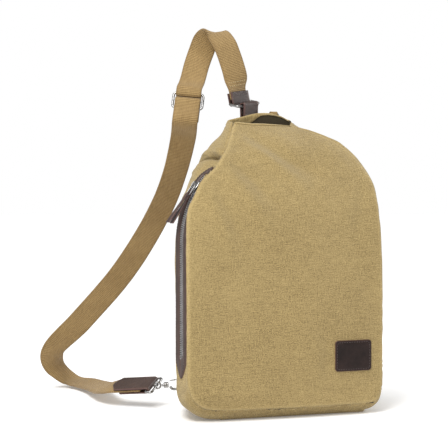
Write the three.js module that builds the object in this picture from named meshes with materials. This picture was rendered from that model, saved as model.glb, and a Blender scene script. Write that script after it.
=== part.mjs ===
import * as THREE from 'three';

// Sling bag. Millimetres, +Z up, the front faces -Y, +X is to the right seen
// from the front. The origin is the middle of the flat bottom.

const CANVAS = 1.6;      // canvas and lining together
const CLEAR = 0.3;       // gap between pieces that touch
const SEAM_BACK = 2.2;   // a side piece starts this far behind its panel
const WEB_W = 30, WEB_T = 2.4;

const group = new THREE.Group();
group.name = 'sling_bag';
const v = (x, y, z) => new THREE.Vector3(x, y, z);
const mix = (a, b, t) => a.clone().lerp(b, t);
const plus = (p, ...terms) => terms.reduce((s, [d, k]) => s.addScaledVector(d, k), p.clone());
const unit = (x, y, z) => v(x, y, z).normalize();

// One closed solid from points and triangles, turned so that it faces outward.
function solid(name, pts, tris) {
  let vol = 0;
  for (const [a, b, c] of tris) vol += pts[a].dot(pts[b].clone().cross(pts[c]));
  const geo = new THREE.BufferGeometry();
  geo.setAttribute('position', new THREE.Float32BufferAttribute(pts.flatMap(p => [p.x, p.y, p.z]), 3));
  geo.setIndex(tris.flatMap(([a, b, c]) => (vol > 0 ? [a, b, c] : [a, c, b])));
  geo.computeVertexNormals();
  const mesh = new THREE.Mesh(geo);
  mesh.name = name;
  group.add(mesh);
  return mesh;
}

// Smooth curve through the given points, with n steps in each interval.
function through(points, n) {
  if (n === 1) return points.map(p => p.clone());
  const curve = new THREE.CatmullRomCurve3(points, false, 'centripetal');
  const last = (points.length - 1) * n;
  return Array.from({ length: last + 1 }, (_, i) => curve.getPoint(i / last));
}

// Rows of control points to a finer grid: rowSteps between rows and
// colSteps[j] between columns j and j + 1.
function refine(rows, rowSteps, colSteps) {
  const wide = rows.map(r => {
    const curve = new THREE.CatmullRomCurve3(r, false, 'centripetal');
    const out = [];
    colSteps.forEach((n, j) => {
        for (let k = 0; k < n; k++) out.push(curve.getPoint((j + k / n) / (r.length - 1))); });
    out.push(r[r.length - 1].clone());
    return out;
  });
  const cols = wide[0].map((_, j) => through(wide.map(r => r[j]), rowSteps));
  return cols[0].map((_, i) => cols.map(c => c[i]));
}

// Normals of a grid, pointing away from the point `inside`.
function gridNormals(rows, inside) {
  const m = rows.length - 1, n = rows[0].length - 1;
  const out = rows.map((r, i) => r.map((p, j) => {
    const du = rows[i][Math.min(n, j + 1)].clone().sub(rows[i][Math.max(0, j - 1)]);
    const dv = rows[Math.min(m, i + 1)][j].clone().sub(rows[Math.max(0, i - 1)][j]);
    return du.cross(dv).normalize();
  }));
  let s = 0;
  rows.forEach((r, i) => r.forEach((p, j) => { s += out[i][j].dot(p.clone().sub(inside)); }));
  if (s < 0) out.forEach(r => r.forEach(q => q.negate()));
  return out;
}

// A sheet of the given thickness under a grid. `lift` moves its outer face
// out of the grid (or in, below zero). Cells where keep(i, j) is false are open.
function sheet(name, rows, thick, { lift = 0, inside = v(0, 0, 120), keep = () => true, normals } = {}) {
  const N = normals || gridNormals(rows, inside);
  const m = rows.length - 1, n = rows[0].length - 1, w = n + 1;
  const pts = [];
  for (const d of [lift, lift - thick]) rows.forEach((r,
      i) => r.forEach((p, j) => pts.push(plus(p, [N[i][j], d]))));
  const half = (m + 1) * w, id = (i, j, s) => s * half + i * w + j;
  const tris = [];
  const quad = (a, b, c, d) => tris.push([a, b, c], [a, c, d]);
  const has = (i, j) => i >= 0 && j >= 0 && i < m && j < n && keep(i, j);
  for (let i = 0; i < m; i++) for (let j = 0; j < n; j++) {
    if (!has(i, j)) continue;
    quad(id(i, j, 0), id(i, j + 1, 0), id(i + 1, j + 1, 0), id(i + 1, j, 0));
    quad(id(i, j, 1), id(i + 1, j, 1), id(i + 1, j + 1, 1), id(i, j + 1, 1));
    if (!has(i - 1, j)) quad(id(i, j + 1, 0), id(i, j, 0), id(i, j, 1), id(i, j + 1, 1));
    if (!has(i + 1, j)) quad(id(i + 1, j, 0), id(i + 1, j + 1, 0), id(i + 1, j + 1, 1), id(i + 1, j, 1));
    if (!has(i, j - 1)) quad(id(i, j, 0), id(i + 1, j, 0), id(i + 1, j, 1), id(i, j, 1));
    if (!has(i, j + 1)) quad(id(i + 1, j + 1, 0), id(i, j + 1, 0), id(i, j + 1, 1), id(i + 1, j + 1, 1));
  }
  const used = [...new Set(tris.flat())].sort((a, b) => a - b);
  const map = new Map(used.map((k, i) => [k, i]));
  return solid(name, used.map(k => pts[k]), tris.map(t => t.map(k => map.get(k))));
}

// A flat band along a path. across[i] is the wanted width direction at path
// point i; width may be a number or a function of 0..1 along the path.
function band(name, path, across, width, thick) {
  const n = path.length, pts = [], tris = [];
  for (let i = 0; i < n; i++) {
    const t = path[Math.min(n - 1, i + 1)].clone().sub(path[Math.max(0, i - 1)]).normalize();
    const w0 = across[i] || across;
    const w = w0.clone().addScaledVector(t, -w0.dot(t)).normalize();
    const h = t.clone().cross(w).normalize();
    const half = (typeof width === 'function' ? width(i / (n - 1)) : width) / 2;
    for (const [a, b] of [[-1, -1], [1, -1], [1, 1], [-1, 1]]) pts.push(plus(path[i], [w, a * half],
        [h, b * thick / 2]));
  }
  for (let i = 0; i < n - 1; i++) for (let k = 0; k < 4; k++) {
    const a = i * 4 + k, b = i * 4 + (k + 1) % 4;
    tris.push([a, b, b + 4], [a, b + 4, a + 4]);
  }
  const e = (n - 1) * 4;
  tris.push([0, 2, 1], [0, 3, 2], [e, e + 1, e + 2], [e, e + 2, e + 3]);
  return solid(name, pts, tris);
}

// Round wire along a path in one plane. `up` is that plane's normal.
function wire(name, path, up, r, closed, sides = 8) {
  const n = path.length, pts = [], tris = [];
  for (let i = 0; i < n; i++) {
    const a = closed ? path[(i + n - 1) % n] : path[Math.max(0, i - 1)];
    const b = closed ? path[(i + 1) % n] : path[Math.min(n - 1, i + 1)];
    const t = b.clone().sub(a).normalize(), s = up.clone().cross(t).normalize(), u = t.clone().cross(s);
    for (let k = 0; k < sides; k++) {
      const q = 2 * Math.PI * (k + 0.5) / sides;
      pts.push(plus(path[i], [s, r * Math.cos(q)], [u, r * Math.sin(q)]));
    }
  }
  for (let i = 0; i < (closed ? n : n - 1); i++) for (let k = 0; k < sides; k++) {
    const j = (i + 1) % n, k2 = (k + 1) % sides;
    tris.push([i * sides + k, i * sides + k2, j * sides + k2],
        [i * sides + k, j * sides + k2, j * sides + k]);
  }
  if (!closed) for (let k = 1; k < sides - 1; k++) {
    tris.push([0, k + 1, k], [(n - 1) * sides, (n - 1) * sides + k, (n - 1) * sides + k + 1]);
  }
  return solid(name, pts, tris);
}

// Rounded rectangle of points about c in the plane of ex and ey.
function roundedLoop(c, ex, ey, hx, hy, r, n = 4) {
  const out = [];
  for (const [sx, sy, a0] of [[1, 1, 0], [-1, 1, 90], [-1, -1, 180], [1, -1, 270]]) {
    for (let k = 0; k <= n; k++) {
      const a = (a0 + 90 * k / n) * Math.PI / 180;
      out.push(plus(c, [ex, sx * (hx - r) + r * Math.cos(a)], [ey, sy * (hy - r) + r * Math.sin(a)]));
    }
  }
  return out;
}

// Outline in the plane of ex and ey, pushed along ez from z0 to z1.
function prism(name, c, ex, ey, ez, outline, z0, z1, holes = []) {
  const tris2 = THREE.ShapeUtils.triangulateShape(outline, holes);
  const flat = [...outline, ...holes.flat()], n = flat.length, pts = [], tris = [];
  for (const z of [z0, z1]) flat.forEach(p => pts.push(plus(c, [ex, p.x], [ey, p.y], [ez, z])));
  tris2.forEach(([a, b, d]) => tris.push([a + n, b + n, d + n], [a, d, b]));
  let start = 0;
  for (const ring of [outline, ...holes]) {
    for (let k = 0; k < ring.length; k++) {
      const a = start + k, b = start + (k + 1) % ring.length;
      tris.push([a, b, b + n], [a, b + n, a + n]);
    }
    start += ring.length;
  }
  return solid(name, pts, tris);
}
const disc = (r, n = 20) => Array.from({ length: n },
    (_, k) => new THREE.Vector2(r * Math.cos(2 * Math.PI * k / n), r * Math.sin(2 * Math.PI * k / n)));
const rounded = (hx, hy, r, n = 4) => roundedLoop(v(0, 0, 0), v(1, 0, 0), v(0, 1, 0), hx, hy, r,
    n).map(p => new THREE.Vector2(p.x, p.y));

// ---- Seams. Each row runs from the mouth down the side and under the corner.
const frontLeft = [
  v(-36.8, 22, 326), v(-45.7, 7, 312), v(-55.3, -9, 297), v(-64.2, -19, 286), v(-74.9, -27, 273),
      v(-90, -33, 260),
  v(-101, -39, 242), v(-108.8, -42, 226), v(-111, -44, 190), v(-111.1, -46, 120), v(-111.1, -46, 60),
  v(-110.6, -46, 45), v(-108.3, -46, 33), v(-103, -46, 23), v(-95.4, -46, 16.5), v(-86, -46, 13),
      v(-68, -46, 11)];
const frontRight = [
  v(32, 24, 323), v(46, 19.5, 320), v(60, 14, 315.5), v(81.5, 3, 304), v(93, -5, 294), v(101.5, -12, 283),
  v(113.5, -24, 260), v(116, -32, 241), v(116.5, -42, 200), v(116.9, -46, 120), v(116.9, -46, 60),
  v(116.9, -46, 44), v(116.5, -46, 32), v(115, -46, 23), v(112, -46, 16), v(107, -46, 12.5),
      v(98, -46, 11)];
const backLeft = [
  v(-38, 42, 329), v(-46.5, 43, 312), v(-57, 44, 299), v(-65, 44, 287), v(-74, 44.5, 275), v(-82, 45, 262),
  v(-88.5, 46, 242), v(-92.5, 47, 222), v(-95, 49, 190), v(-95, 50, 120), v(-95, 50, 60),
  v(-94.5, 50, 45), v(-92, 50, 33), v(-88, 50, 23), v(-82, 50, 16), v(-76, 50, 12.5), v(-66, 50, 11)];
const backRight = [
  v(40, 42, 329), v(52, 43, 319), v(64, 43.5, 309), v(80, 44, 294), v(89, 45, 280), v(96.5, 45.5, 264),
  v(101, 46, 243), v(103, 47, 222), v(104, 49, 190), v(104, 50, 120), v(104, 50, 60),
  v(104, 50, 44), v(103.5, 50, 32), v(102, 50, 23), v(99, 50, 16), v(94, 50, 12.5), v(86, 50, 11)];

// ---- Front and back panels: rows joined across, puffed out in the middle.
const PUFF_FRONT = 4, PUFF_BACK = 2, ARCH = 9;
const ACROSS = 14;
function panelRows(left, right, puff, arch) {
  const L = through(left, 2), R = through(right, 2);
  return L.map((a, i) => Array.from({ length: ACROSS + 1 }, (_, j) => {
    const u = j / ACROSS, p = mix(a, R[i], u), round = 1 - (2 * u - 1) ** 2;
    p.y += puff * round;
    p.z += arch * (1 - (2 * u ** 1.4 - 1) ** 2) * Math.max(0, 1 - i / 8);
    return p;
  }));
}
const frontRows = panelRows(frontLeft, frontRight, -PUFF_FRONT, 0);
const backRows = panelRows(backLeft, backRight, PUFF_BACK, ARCH);
sheet('front_panel', frontRows, CANVAS);
sheet('back_panel', backRows, CANVAS);

// ---- Zip: straight up the left side, then an arc over the shoulder.
const ZIP_TURN = 18 * Math.PI / 180;
const zipIn = v(Math.cos(ZIP_TURN), Math.sin(ZIP_TURN), 0);       // towards the bag's middle
const zipWide = v(Math.sin(ZIP_TURN), -Math.cos(ZIP_TURN), 0);    // across the tape, to the front
const UP = v(0, 0, 1);
const ZIP_R = 103.9, ZIP_STRAIGHT_TOP = 190, ZIP_END_ANGLE = 53.0;
const zipFoot = v(-111.7, -27, ZIP_STRAIGHT_TOP);
const zipCentre = plus(zipFoot, [zipIn, ZIP_R]);
const rad = a => a * Math.PI / 180;
const zipOut = a => plus(v(0, 0, 0), [zipIn, -Math.cos(rad(a))], [UP, Math.sin(rad(a))]);
const zipAt = a => plus(zipCentre, [zipOut(a), ZIP_R]);
const TRIM_LIFT = 1.8, TEETH_TOP = 45.6, SLOT_BELOW = 3.8, SLOT = 8.3, TRIM = 10.25, TEETH_OPEN = 3.4,
    TEETH_LOW = 67, TIP_LOW = 46;
// stations down the zip: centre and outward direction
const zipLine = [];
for (let k = 0; k <= 8; k++) {
    const a = ZIP_END_ANGLE * (1 - k / 8); zipLine.push({ p: zipAt(a), out: zipOut(a) }); }
for (const z of [160, 130, 100, TEETH_LOW]) zipLine.push({ p: v(zipFoot.x, zipFoot.y, z), out: zipOut(0) });
const SLOT_ROWS = zipLine.length - 1;
// the slot ends a little below the teeth
const slotLine = zipLine.map(({ p, out }, i) => ({
    p: i < SLOT_ROWS ? p : v(p.x, p.y, p.z - SLOT_BELOW), out }));

// ---- Left side: rows with the zip slot's edges as columns.
const sideInside = v(-20, 5, 120);
function onCurve(points, z) {
  const fine = through(points, 8);
  for (let i = 1; i < fine.length; i++) {
    if (fine[i].z <= z) return mix(fine[i - 1], fine[i],
        (fine[i - 1].z - z) / Math.max(1e-6, fine[i - 1].z - fine[i].z));
  }
  return fine[fine.length - 1].clone();
}
const tuckFront = (p, lean) => p.clone().add(v(p.x < 0 ? 0.5 : -0.5, SEAM_BACK + 0.8 * lean, -2.2 * lean));
const tuckBack = p => p.clone().add(v(p.x < 0 ? 0.5 : -0.5, -SEAM_BACK, 0));
const leftRows = [];
// `over` is how far the front panel's edge stands out past this piece
const leftRow = (F, lean, over, Z, wide, slot, edge, drop, out, B, puffs) => {
  const f = tuckFront(F, lean).add(v(over, 0, 0)), b = tuckBack(B);
  const at = (k, d) => plus(Z, [wide, k], [out, -d]);
  const rear = at(-edge, 0);
  const row = [f, at(edge, drop), at(slot, drop / 3), at(-slot, 0), rear];
  [0.35, 0.75, 0.93].forEach((t, k) => row.push(plus(mix(rear, b, t), [out, puffs[k]])));
  row.push(b);
  leftRows.push(row);
};
[[0, v(-38.5, 28, 327), 2], [1, v(-48, 15.5, 311), 3.5], [2, v(-57.2, 2, 295.5), 5.5],
    [3, v(-65, -7.5, 283.5), 7]].forEach(([i, Z, s]) => {
  leftRow(frontLeft[i], 1, [0.3, 1.2, 2.5, 4.2][i], Z, mix(zipWide, v(0, -1, 0), 0.5).normalize(), s,
      s + 1.9 * s / SLOT, 0, zipOut(60), backLeft[i], [1.5, 2, 1].map(q => q * s / 5));
});
const SLOT_FROM = leftRows.length;
slotLine.forEach(({ p, out }) => {
  const F = onCurve(frontLeft, p.z + 0.5), B = onCurve(backLeft, p.z + 2),
      lean = Math.min(1, Math.max(0, (p.z - 180) / 40));
  leftRow(F, lean, 5.5 * Math.min(1, Math.max(0, (p.z - ZIP_STRAIGHT_TOP) / 60)), p, zipWide, SLOT, TRIM, 0,
      out, B, [1.5, 2, 1]);
});
const SLOT_TO = leftRows.length - 1;
leftRow(v(-111.1, -46, 54), 0, 0, v(-111.7, -27, 54), zipWide, SLOT, TRIM, 0, zipOut(0), v(-94.8, 50, 54),
    [1.5, 2, 1]);
// round the lower corner the section changes into that of the bottom
const LOW_PART = [0, 0.05, 0.13, 0.274, 0.296, 0.56, 0.87, 0.95, 1],
    LOW_FULL = [0, 0.6, 1, 1, 1, 1, 1, 0.6, 0];
[[11, v(-111.9, -27, 44), 0], [12, v(-113.3, -27, 32), 15], [13, v(-111.7, -27, 21), 40],
    [14, v(-105, -27, 12), 58],
 [15, v(-93, -27, 4.5), 72], [16, v(-68, -27, 0), 90]].forEach(([i, Z, a], k) => {
  const t = (k + 1) / 6, out = v(-Math.cos(rad(a)), 0, -Math.sin(rad(a)));
  const f = tuckFront(frontLeft[i], 0), b = tuckBack(backLeft[i]);
  f.z += 0.5 * t; b.z += 0.5 * t;
  const deep = Z.clone().sub(mix(f, b, 0.18)).dot(out), rear = plus(Z, [zipWide, -TRIM]);
  const tall = [f, plus(Z, [zipWide, TRIM]), plus(Z, [zipWide, SLOT]), plus(Z, [zipWide, -SLOT]), rear,
    plus(mix(rear, b, 0.35), [out, 1.5]), plus(mix(rear, b, 0.75), [out, 2]),
        plus(mix(rear, b, 0.93), [out, 1]), b];
  leftRows.push(tall.map((p, q) => mix(p, plus(mix(f, b, LOW_PART[q]), [out, deep * LOW_FULL[q]]), t)));
});
const aboveFloor = rows => rows.map(r => r.map(p => v(p.x, p.y, Math.max(0, p.z))));
const LEFT_COLS = [2, 1, 1, 1, 2, 3, 2, 2];
const leftGrid = aboveFloor(refine(leftRows, 2, LEFT_COLS));
const slotCol = 3;   // the slot is one column of cells wide
sheet('left_gusset', leftGrid, CANVAS, {
    inside: sideInside, keep: (i, j) => !(j === slotCol && i >= SLOT_FROM * 2 && i < SLOT_TO * 2) });

// ---- Right side.
const PART = [0, 0.05, 0.13, 0.35, 0.65, 0.87, 0.95, 1], FULL = [0, 0.6, 1, 1, 1, 1, 0.6, 0];
const BOTTOM_DEPTH = 11.5;
function across(F, B, out, deep) {
  return PART.map((t, k) => plus(mix(F, B, t), [out, deep * FULL[k]]));
}
const rightOut = [
  [60, 0.5], [62, 2], [60, 3], [48, 5], [42, 6], [35, 6.5], [15, 6], [5, 5], [0, 4], [0, 4], [0, 4],
  [0, 4], [-8, 4.5], [-25, 6.5], [-45, 8.5], [-70, 10.2], [-90, BOTTOM_DEPTH]];
const rightRows = frontRight.map((F, i) => {
  const lean = Math.min(1, Math.max(0, (F.z - 190) / 50)), [a, deep] = rightOut[i];
  const f = tuckFront(F, lean), b = tuckBack(backRight[i]), t = Math.max(0, (i - 12) / 4);
  f.z += 0.5 * t; b.z += 0.5 * t;
  return across(f, b, v(Math.cos(rad(a)), 0, Math.sin(rad(a))), deep);
});
sheet('right_gusset', aboveFloor(refine(rightRows, 2, [2, 2, 2, 2, 2, 2, 2])), CANVAS, {
    inside: v(20, 5, 120) });

// ---- Bottom: the same section carried between the two ends.
const bottomRows = [0, 0.25, 0.5, 0.75, 1].map(t => {
  const F = mix(v(-67.1, -46, 11.5), v(97.1, -46, 11.5), t),
      B = mix(v(-65.1, 50, 11.5), v(85.1, 50, 11.5), t);
  F.y += SEAM_BACK; B.y -= SEAM_BACK;
  return across(F, B, v(0, 0, -1), BOTTOM_DEPTH);
});
bottomRows.forEach(r => r.forEach((p, k) => { if (FULL[k] === 1) p.z = 0; }));
sheet('bottom_panel', refine(bottomRows, 1, [3, 2, 1, 2, 1, 2, 3]), CANVAS, { inside: v(0, 0, 120) });

// ---- Pieces that lie against the panels.
const part = (rows, i0, i1, j0, j1) => rows.slice(i0, i1 + 1).map(r => r.slice(j0, j1 + 1));
const under = CANVAS + CLEAR;
const FACING = 1.0, PAD = 5;
const cut = (name, rows, N, i0, i1, j0, j1, thick, lift) => sheet(name, part(rows, i0, i1, j0, j1), thick, {
    lift, normals: part(N, i0, i1, j0, j1) });
const frontN = gridNormals(frontRows, v(0, 0, 120)), backN = gridNormals(backRows, v(0, 0, 120));
cut('mouth_facing_front', frontRows, frontN, 0, 5, 1, 13, FACING, -under);
cut('mouth_facing_back', backRows, backN, 0, 5, 1, 13, FACING, -under);
cut('back_pad', backRows, backN, 8, 26, 1, 13, PAD, -under);
cut('inner_pocket', backRows, backN, 14, 20, 3, 11, 1.2, -under - PAD - CLEAR);
prism('base_board', v(13, 1.5, 0), v(1, 0, 0), v(0, 1, 0), UP, rounded(76, 32, 8), CANVAS + CLEAR,
    CANVAS + CLEAR + 2.4);

// magnetic snap, one half on each facing
const magnet = (name, rows, N, i, j) => {
  const c = rows[i][j], n = N[i][j], ex = v(1, 0, 0).addScaledVector(n, -n.x).normalize(),
      ey = n.clone().cross(ex);
  prism(name, c, ex, ey, n, disc(6.5), -(under + FACING + CLEAR + 2.2), -(under + FACING + CLEAR));
};
magnet('magnet_front', frontRows, frontN, 3, 7);
magnet('magnet_back', backRows, backN, 3, 7);

// ---- Zip pieces.
const teethLine = [{ p: zipAt(TEETH_TOP), out: zipOut(TEETH_TOP) }, ...zipLine.slice(2)];
const zipPath = (w, h) => teethLine.map(({ p, out }) => plus(p, [zipWide, w], [out, h]));
const fine = (pts) => through(pts, 2);
for (const [side, s] of [['front', 1], ['rear', -1]]) {
  band(`zip_tape_${side}`, fine(zipPath(s * 5.5, -0.8)), zipWide, 5, 0.8);
  band(`zip_teeth_${side}`, fine(zipPath(s * 1.6, -0.4)), zipWide, 2.2, 2.6);
}
const trimLine = [...slotLine,
    ...[59, 55, 50, TIP_LOW].map(z => ({ p: v(zipFoot.x, zipFoot.y, z), out: zipOut(0) }))];
const trimHalf = i => { const k = trimLine.length - 1 - i; return k >= 4 ? 1 : [0.12, 0.5, 0.8, 0.95][k]; };
const trimRows = trimLine.map(({ p, out }, i) => [-TRIM, -6.8, -TEETH_OPEN, TEETH_OPEN, 6.8,
    TRIM].map(w => plus(p, [zipWide, w * trimHalf(i)])));
sheet('zip_trim', trimRows, 1.2, {
    lift: TRIM_LIFT, normals: trimLine.map(({ out }) => Array(6).fill(out)),
    keep: (i, j) => !(j === 2 && i >= 1 && i < SLOT_ROWS) });
{
  const { p, out } = zipLine[SLOT_ROWS], low = v(0, 0, -1);
  prism('zip_bottom_stop', p, zipWide, out, low,
      [[-2.9, -1.6], [2.9, -1.6], [2.9, 0.9], [-2.9, 0.9]].map(([a, b]) => new THREE.Vector2(a, b)), CLEAR,
      3.2);
}

// slider, at rest on the arc
const REST = 36;
const sp = zipAt(REST), so = zipOut(REST);
const sd = plus(v(0, 0, 0), [zipIn, -Math.sin(rad(REST))], [UP, -Math.cos(rad(REST))]);   // down the zip
const I = [[-2.6, -3.1], [2.6, -3.1], [2.6, -2.1], [0.25, -2.1], [0.25, 2.2], [4.6, 2.2], [4.6, 3.3],
    [-4.6, 3.3], [-4.6, 2.2], [-0.25, 2.2], [-0.25, -2.1], [-2.6, -2.1]];
prism('slider_body', sp, zipWide, so, sd, I.map(([a, b]) => new THREE.Vector2(a, b)), -6, 6);
const bridge = [[-4.2, 4.2], [-4.0, 5.6], [-2.6, 6.7], [0, 7.0], [2.6, 6.7], [4.0, 5.6],
    [4.2, 4.2]].map(([t, h]) => plus(sp, [sd, t], [so, h]));
wire('slider_bridge', bridge, zipWide, 0.75, false, 8);
const HINGE_H = 5.0;
const hinge = plus(sp, [so, HINGE_H]);
wire('puller_link', roundedLoop(plus(hinge, [sd, 6.5]), zipWide, sd, 3.3, 6.5, 1.3, 4), so, 0.7, true, 8);
const thong = [[52, 3.6], [40, 2.8], [28, 2.1], [18, 1.75], [13, 1.75]];
const turn = Array.from({ length: 7 },
    (_, k) => [13 - 1.75 * Math.sin(Math.PI * (k + 1) / 8), 1.75 * Math.cos(Math.PI * (k + 1) / 8)]);
const thongPath = [...thong, ...turn, [13, -1.75], [18, -1.75], [28, -1.6], [40, -1.3],
    [50, -1.0]].map(([t, h]) => plus(hinge, [sd, t], [so, h]));
band('puller_thong', thongPath, zipWide,
    u => 3.8 + 3 * Math.min(1, Math.max(0, Math.abs(u - 0.5) - 0.14) * 4), 1.3);

// ---- Patch on the front.
{
  const cx = 79, cz = 66,
      mesh = prism('leather_patch', v(cx, 0, cz), v(1, 0, 0), v(0, 0, 1), v(0, -1, 0), rounded(22, 17, 3.5),
      CLEAR, CLEAR + 1.6);
  const pos = mesh.geometry.attributes.position;
  for (let i = 0; i < pos.count; i++) {
    const u = (pos.getX(i) + 111.1) / 228;
    pos.setY(i, pos.getY(i) - 46 - PUFF_FRONT * (1 - (2 * u - 1) ** 2));
  }
}

// ---- Top anchor, ring and strap.
const barDir = unit(0.98, 0.15, 0.06);
const frontBar = v(-7, 55.8, 349), rearBar = v(-14.8, 67, 352.5);
const RING_R = 1.5;
// A folded strip: from `from` to the bar, half way round it and back to `back`.
function fold(bar, dir, leave, r, lenA, lenB, spread = 0) {
  const n = dir.clone().cross(leave).normalize(), out = [];
  for (const k of [1, 0.5]) out.push(plus(bar, [leave, lenA * k], [n, r + spread * k]));
  for (let k = 0; k <= 8; k++) {
      const a = Math.PI * k / 8; out.push(plus(bar, [n, r * Math.cos(a)], [leave, -r * Math.sin(a)])); }
  for (const k of [0.5, 1]) out.push(plus(bar, [leave, lenB * k], [n, -r - spread * k]));
  return out;
}
const ringCentre = mix(frontBar, rearBar, 0.5), ringShort = rearBar.clone().sub(frontBar);
const ringLong = barDir.clone().addScaledVector(ringShort.clone().normalize(),
    -barDir.dot(ringShort.clone().normalize())).normalize();
const ringHalf = ringShort.length() / 2;
ringShort.normalize();
const tabDown = unit(0, -0.04, -1);
band('anchor_tab', fold(frontBar, ringLong, tabDown, 2.9, 30, 30, -0.6), ringLong, 26, 1.6);
wire('top_ring', roundedLoop(ringCentre, ringLong, ringShort, 19.6, ringHalf, 2.8),
    ringLong.clone().cross(ringShort), RING_R, true, 10);

const strapUp = unit(-0.19, 0.03, 0.98);
band('strap_wrap', fold(rearBar, ringLong, strapUp, 2.6, 13, 12), ringLong, 32, 1.4);

const ADJ = v(-73.5, 82, 354), adjDown = unit(-0.19, -0.21, -0.96);
const adjAcross = unit(0.9, -0.38, -0.1).addScaledVector(adjDown,
    -unit(0.9, -0.38, -0.1).dot(adjDown)).normalize();
const adjFace = adjDown.clone().cross(adjAcross).normalize();
if (adjFace.y > 0) adjFace.negate();
const BAR_GAP = 9.2, LOOP_R = RING_R + CLEAR + WEB_T / 2 + 0.1;
wire('adjuster_frame', roundedLoop(ADJ, adjAcross, adjDown, 17.6, BAR_GAP, 3.5), adjFace, 1.4, true, 10);
wire('adjuster_bar', [-1, 0, 1].map(k => plus(ADJ, [adjAcross, 15.8 * k])), adjFace, 1.4, false, 10);

const widths = (hints, steps) => {
  const out = [];
  hints.forEach((h, i) => {
      if (i < hints.length - 1) for (let k = 0; k < steps; k++) out.push(mix(h, hints[i + 1], k / steps));
      });
  out.push(hints[hints.length - 1]);
  return out;
};
// upper webbing: ring, arch, adjuster
const topBar = plus(ADJ, [adjDown, -BAR_GAP]);
const upper = [
  [plus(rearBar, [strapUp, 4.2]), ringLong], [plus(rearBar, [strapUp, 15]), ringLong],
      [v(-20.5, 65.5, 383), unit(0.97, 0.1, 0.17)],
  [v(-28, 67, 408), unit(0.96, 0.1, 0.2)], [v(-34, 71, 424), unit(0.96, 0.05, 0.15)],
      [v(-41, 81, 434.5), unit(0.97, -0.05, 0)],
  [v(-48, 91, 428), unit(0.96, -0.2, -0.1)], [v(-53, 96, 414), unit(0.95, -0.3, -0.15)],
      [v(-59, 95, 398), unit(0.94, -0.34, -0.15)],
  [v(-66, 90, 378), adjAcross], [plus(topBar, [adjDown, -6], [adjFace, LOOP_R]), adjAcross]];
const loopAt = (bar, sign, n = 8) => Array.from({ length: n + 1 }, (_, k) => {
  const a = Math.PI * k / n;
  return [plus(bar, [adjFace, LOOP_R * Math.cos(a)], [adjDown, sign * LOOP_R * Math.sin(a)]), adjAcross];
});
function webbing(name, controls, steps, tail) {
  const path = [...through(controls.map(c => c[0]), steps), ...tail.map(c => c[0])];
  const wide = [...widths(controls.map(c => c[1]), steps), ...tail.map(c => c[1])];
  return band(name, path, wide, WEB_W, WEB_T);
}
webbing('webbing_upper', upper, 3,
    [...loopAt(topBar, 1), [plus(topBar, [adjDown, -15], [adjFace, -LOOP_R]), adjAcross]]);

// lower webbing: adjuster, down behind the bag, along the floor, leather end
const endBar = v(-121, 72.7, 25), endDir = unit(0.78, -0.62, 0.09);
const endAcross = unit(0.6, 0.74, 0.33).addScaledVector(endDir,
    -unit(0.6, 0.74, 0.33).dot(endDir)).normalize();
const lower = [
  [plus(endBar, [endDir, -8]), endAcross], [plus(endBar, [endDir, -30]), endAcross],
      [plus(endBar, [endDir, -45]), endAcross],
  [v(-162, 119, 17.5), unit(0.75, 0.6, 0.3)], [v(-162.5, 150, 13), unit(0.92, 0.3, 0.28)],
      [v(-162, 187, 9.5), unit(0.95, 0.1, 0.26)],
  [v(-169, 226, 7.5), unit(0.9, 0.3, 0.22)], [v(-182, 251, 9), unit(0.82, 0.5, 0.1)],
      [v(-199, 252, 24), unit(0.8, 0.55, -0.15)],
  [v(-208, 236, 47), unit(0.8, 0.35, -0.42)], [v(-176, 214, 87), unit(0.75, 0.05, -0.6)],
      [v(-127, 188, 150), unit(0.75, 0.05, -0.6)],
  [v(-92, 150, 221), unit(0.84, 0.15, -0.45)], [v(-80, 121, 267), unit(0.9, 0.15, -0.3)],
      [v(-75.5, 96, 311), unit(0.95, -0.1, -0.2)],
  [plus(ADJ, [adjDown, 26], [adjFace, LOOP_R]), adjAcross],
      [plus(ADJ, [adjDown, 8], [adjFace, LOOP_R]), adjAcross]];
webbing('webbing_lower', lower, 3,
    [...loopAt(ADJ, -1), [plus(ADJ, [adjDown, 12], [adjFace, -LOOP_R]), adjAcross],
    [plus(ADJ, [adjDown, 24], [adjFace, -LOOP_R]), adjAcross]]);

// leather end, ring, swivel and snap hook
const back = endDir.clone().negate();
band('end_tab', fold(endBar, endAcross, back, 2.7, 46, 40), endAcross,
    u => 31 * Math.min(1, 0.25 + 12 * Math.min(u, 1 - u)), 1.5);
const hookRaw = unit(0.93, -0.367, 0.05);
const ringOut = hookRaw.clone().addScaledVector(endAcross, -hookRaw.dot(endAcross)).normalize();
wire('end_ring', roundedLoop(plus(endBar, [ringOut, 3.9]), endAcross, ringOut, 17.5, 3.9, 2.6),
    endAcross.clone().cross(ringOut), RING_R, true, 10);
const nearBar = plus(endBar, [ringOut, 7.8]);
const catchPoint = v(-89, 62.5, 26);   // where the hook holds the left ring
const hd = catchPoint.clone().sub(nearBar), HOOK_L = hd.length();
hd.normalize();
const hookUp = UP.clone().addScaledVector(hd, -hd.z).normalize(), hookSide = hd.clone().cross(hookUp);
const hk = (s, z, y = 0) => plus(catchPoint, [hd, s - 27], [hookUp, z], [hookSide, y]);
const EYE = 27 - HOOK_L;
wire('swivel_eye', Array.from({ length: 16 },
    (_, k) => hk(EYE + 0.7 + 3.6 * Math.cos(Math.PI * k / 8), 3.6 * Math.sin(Math.PI * k / 8))), hookSide,
    1.05, true, 8);
prism('swivel_post', hk(0, 0), hookUp, hookSide, hd, disc(1.6, 12), EYE + 5.7, 13.5);
const ring2 = (r, n = 20) => disc(r, n);
prism('hook_barrel', hk(0, 0), hookUp, hookSide, hd, ring2(3.4), 8.5, 14, [ring2(1.95).reverse()]);
const hookPath = [hk(15.9, -1.6), hk(16.8, -3.6), hk(18.6, -5.1), hk(22, -5.4), hk(25.5, -5.4)];
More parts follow.
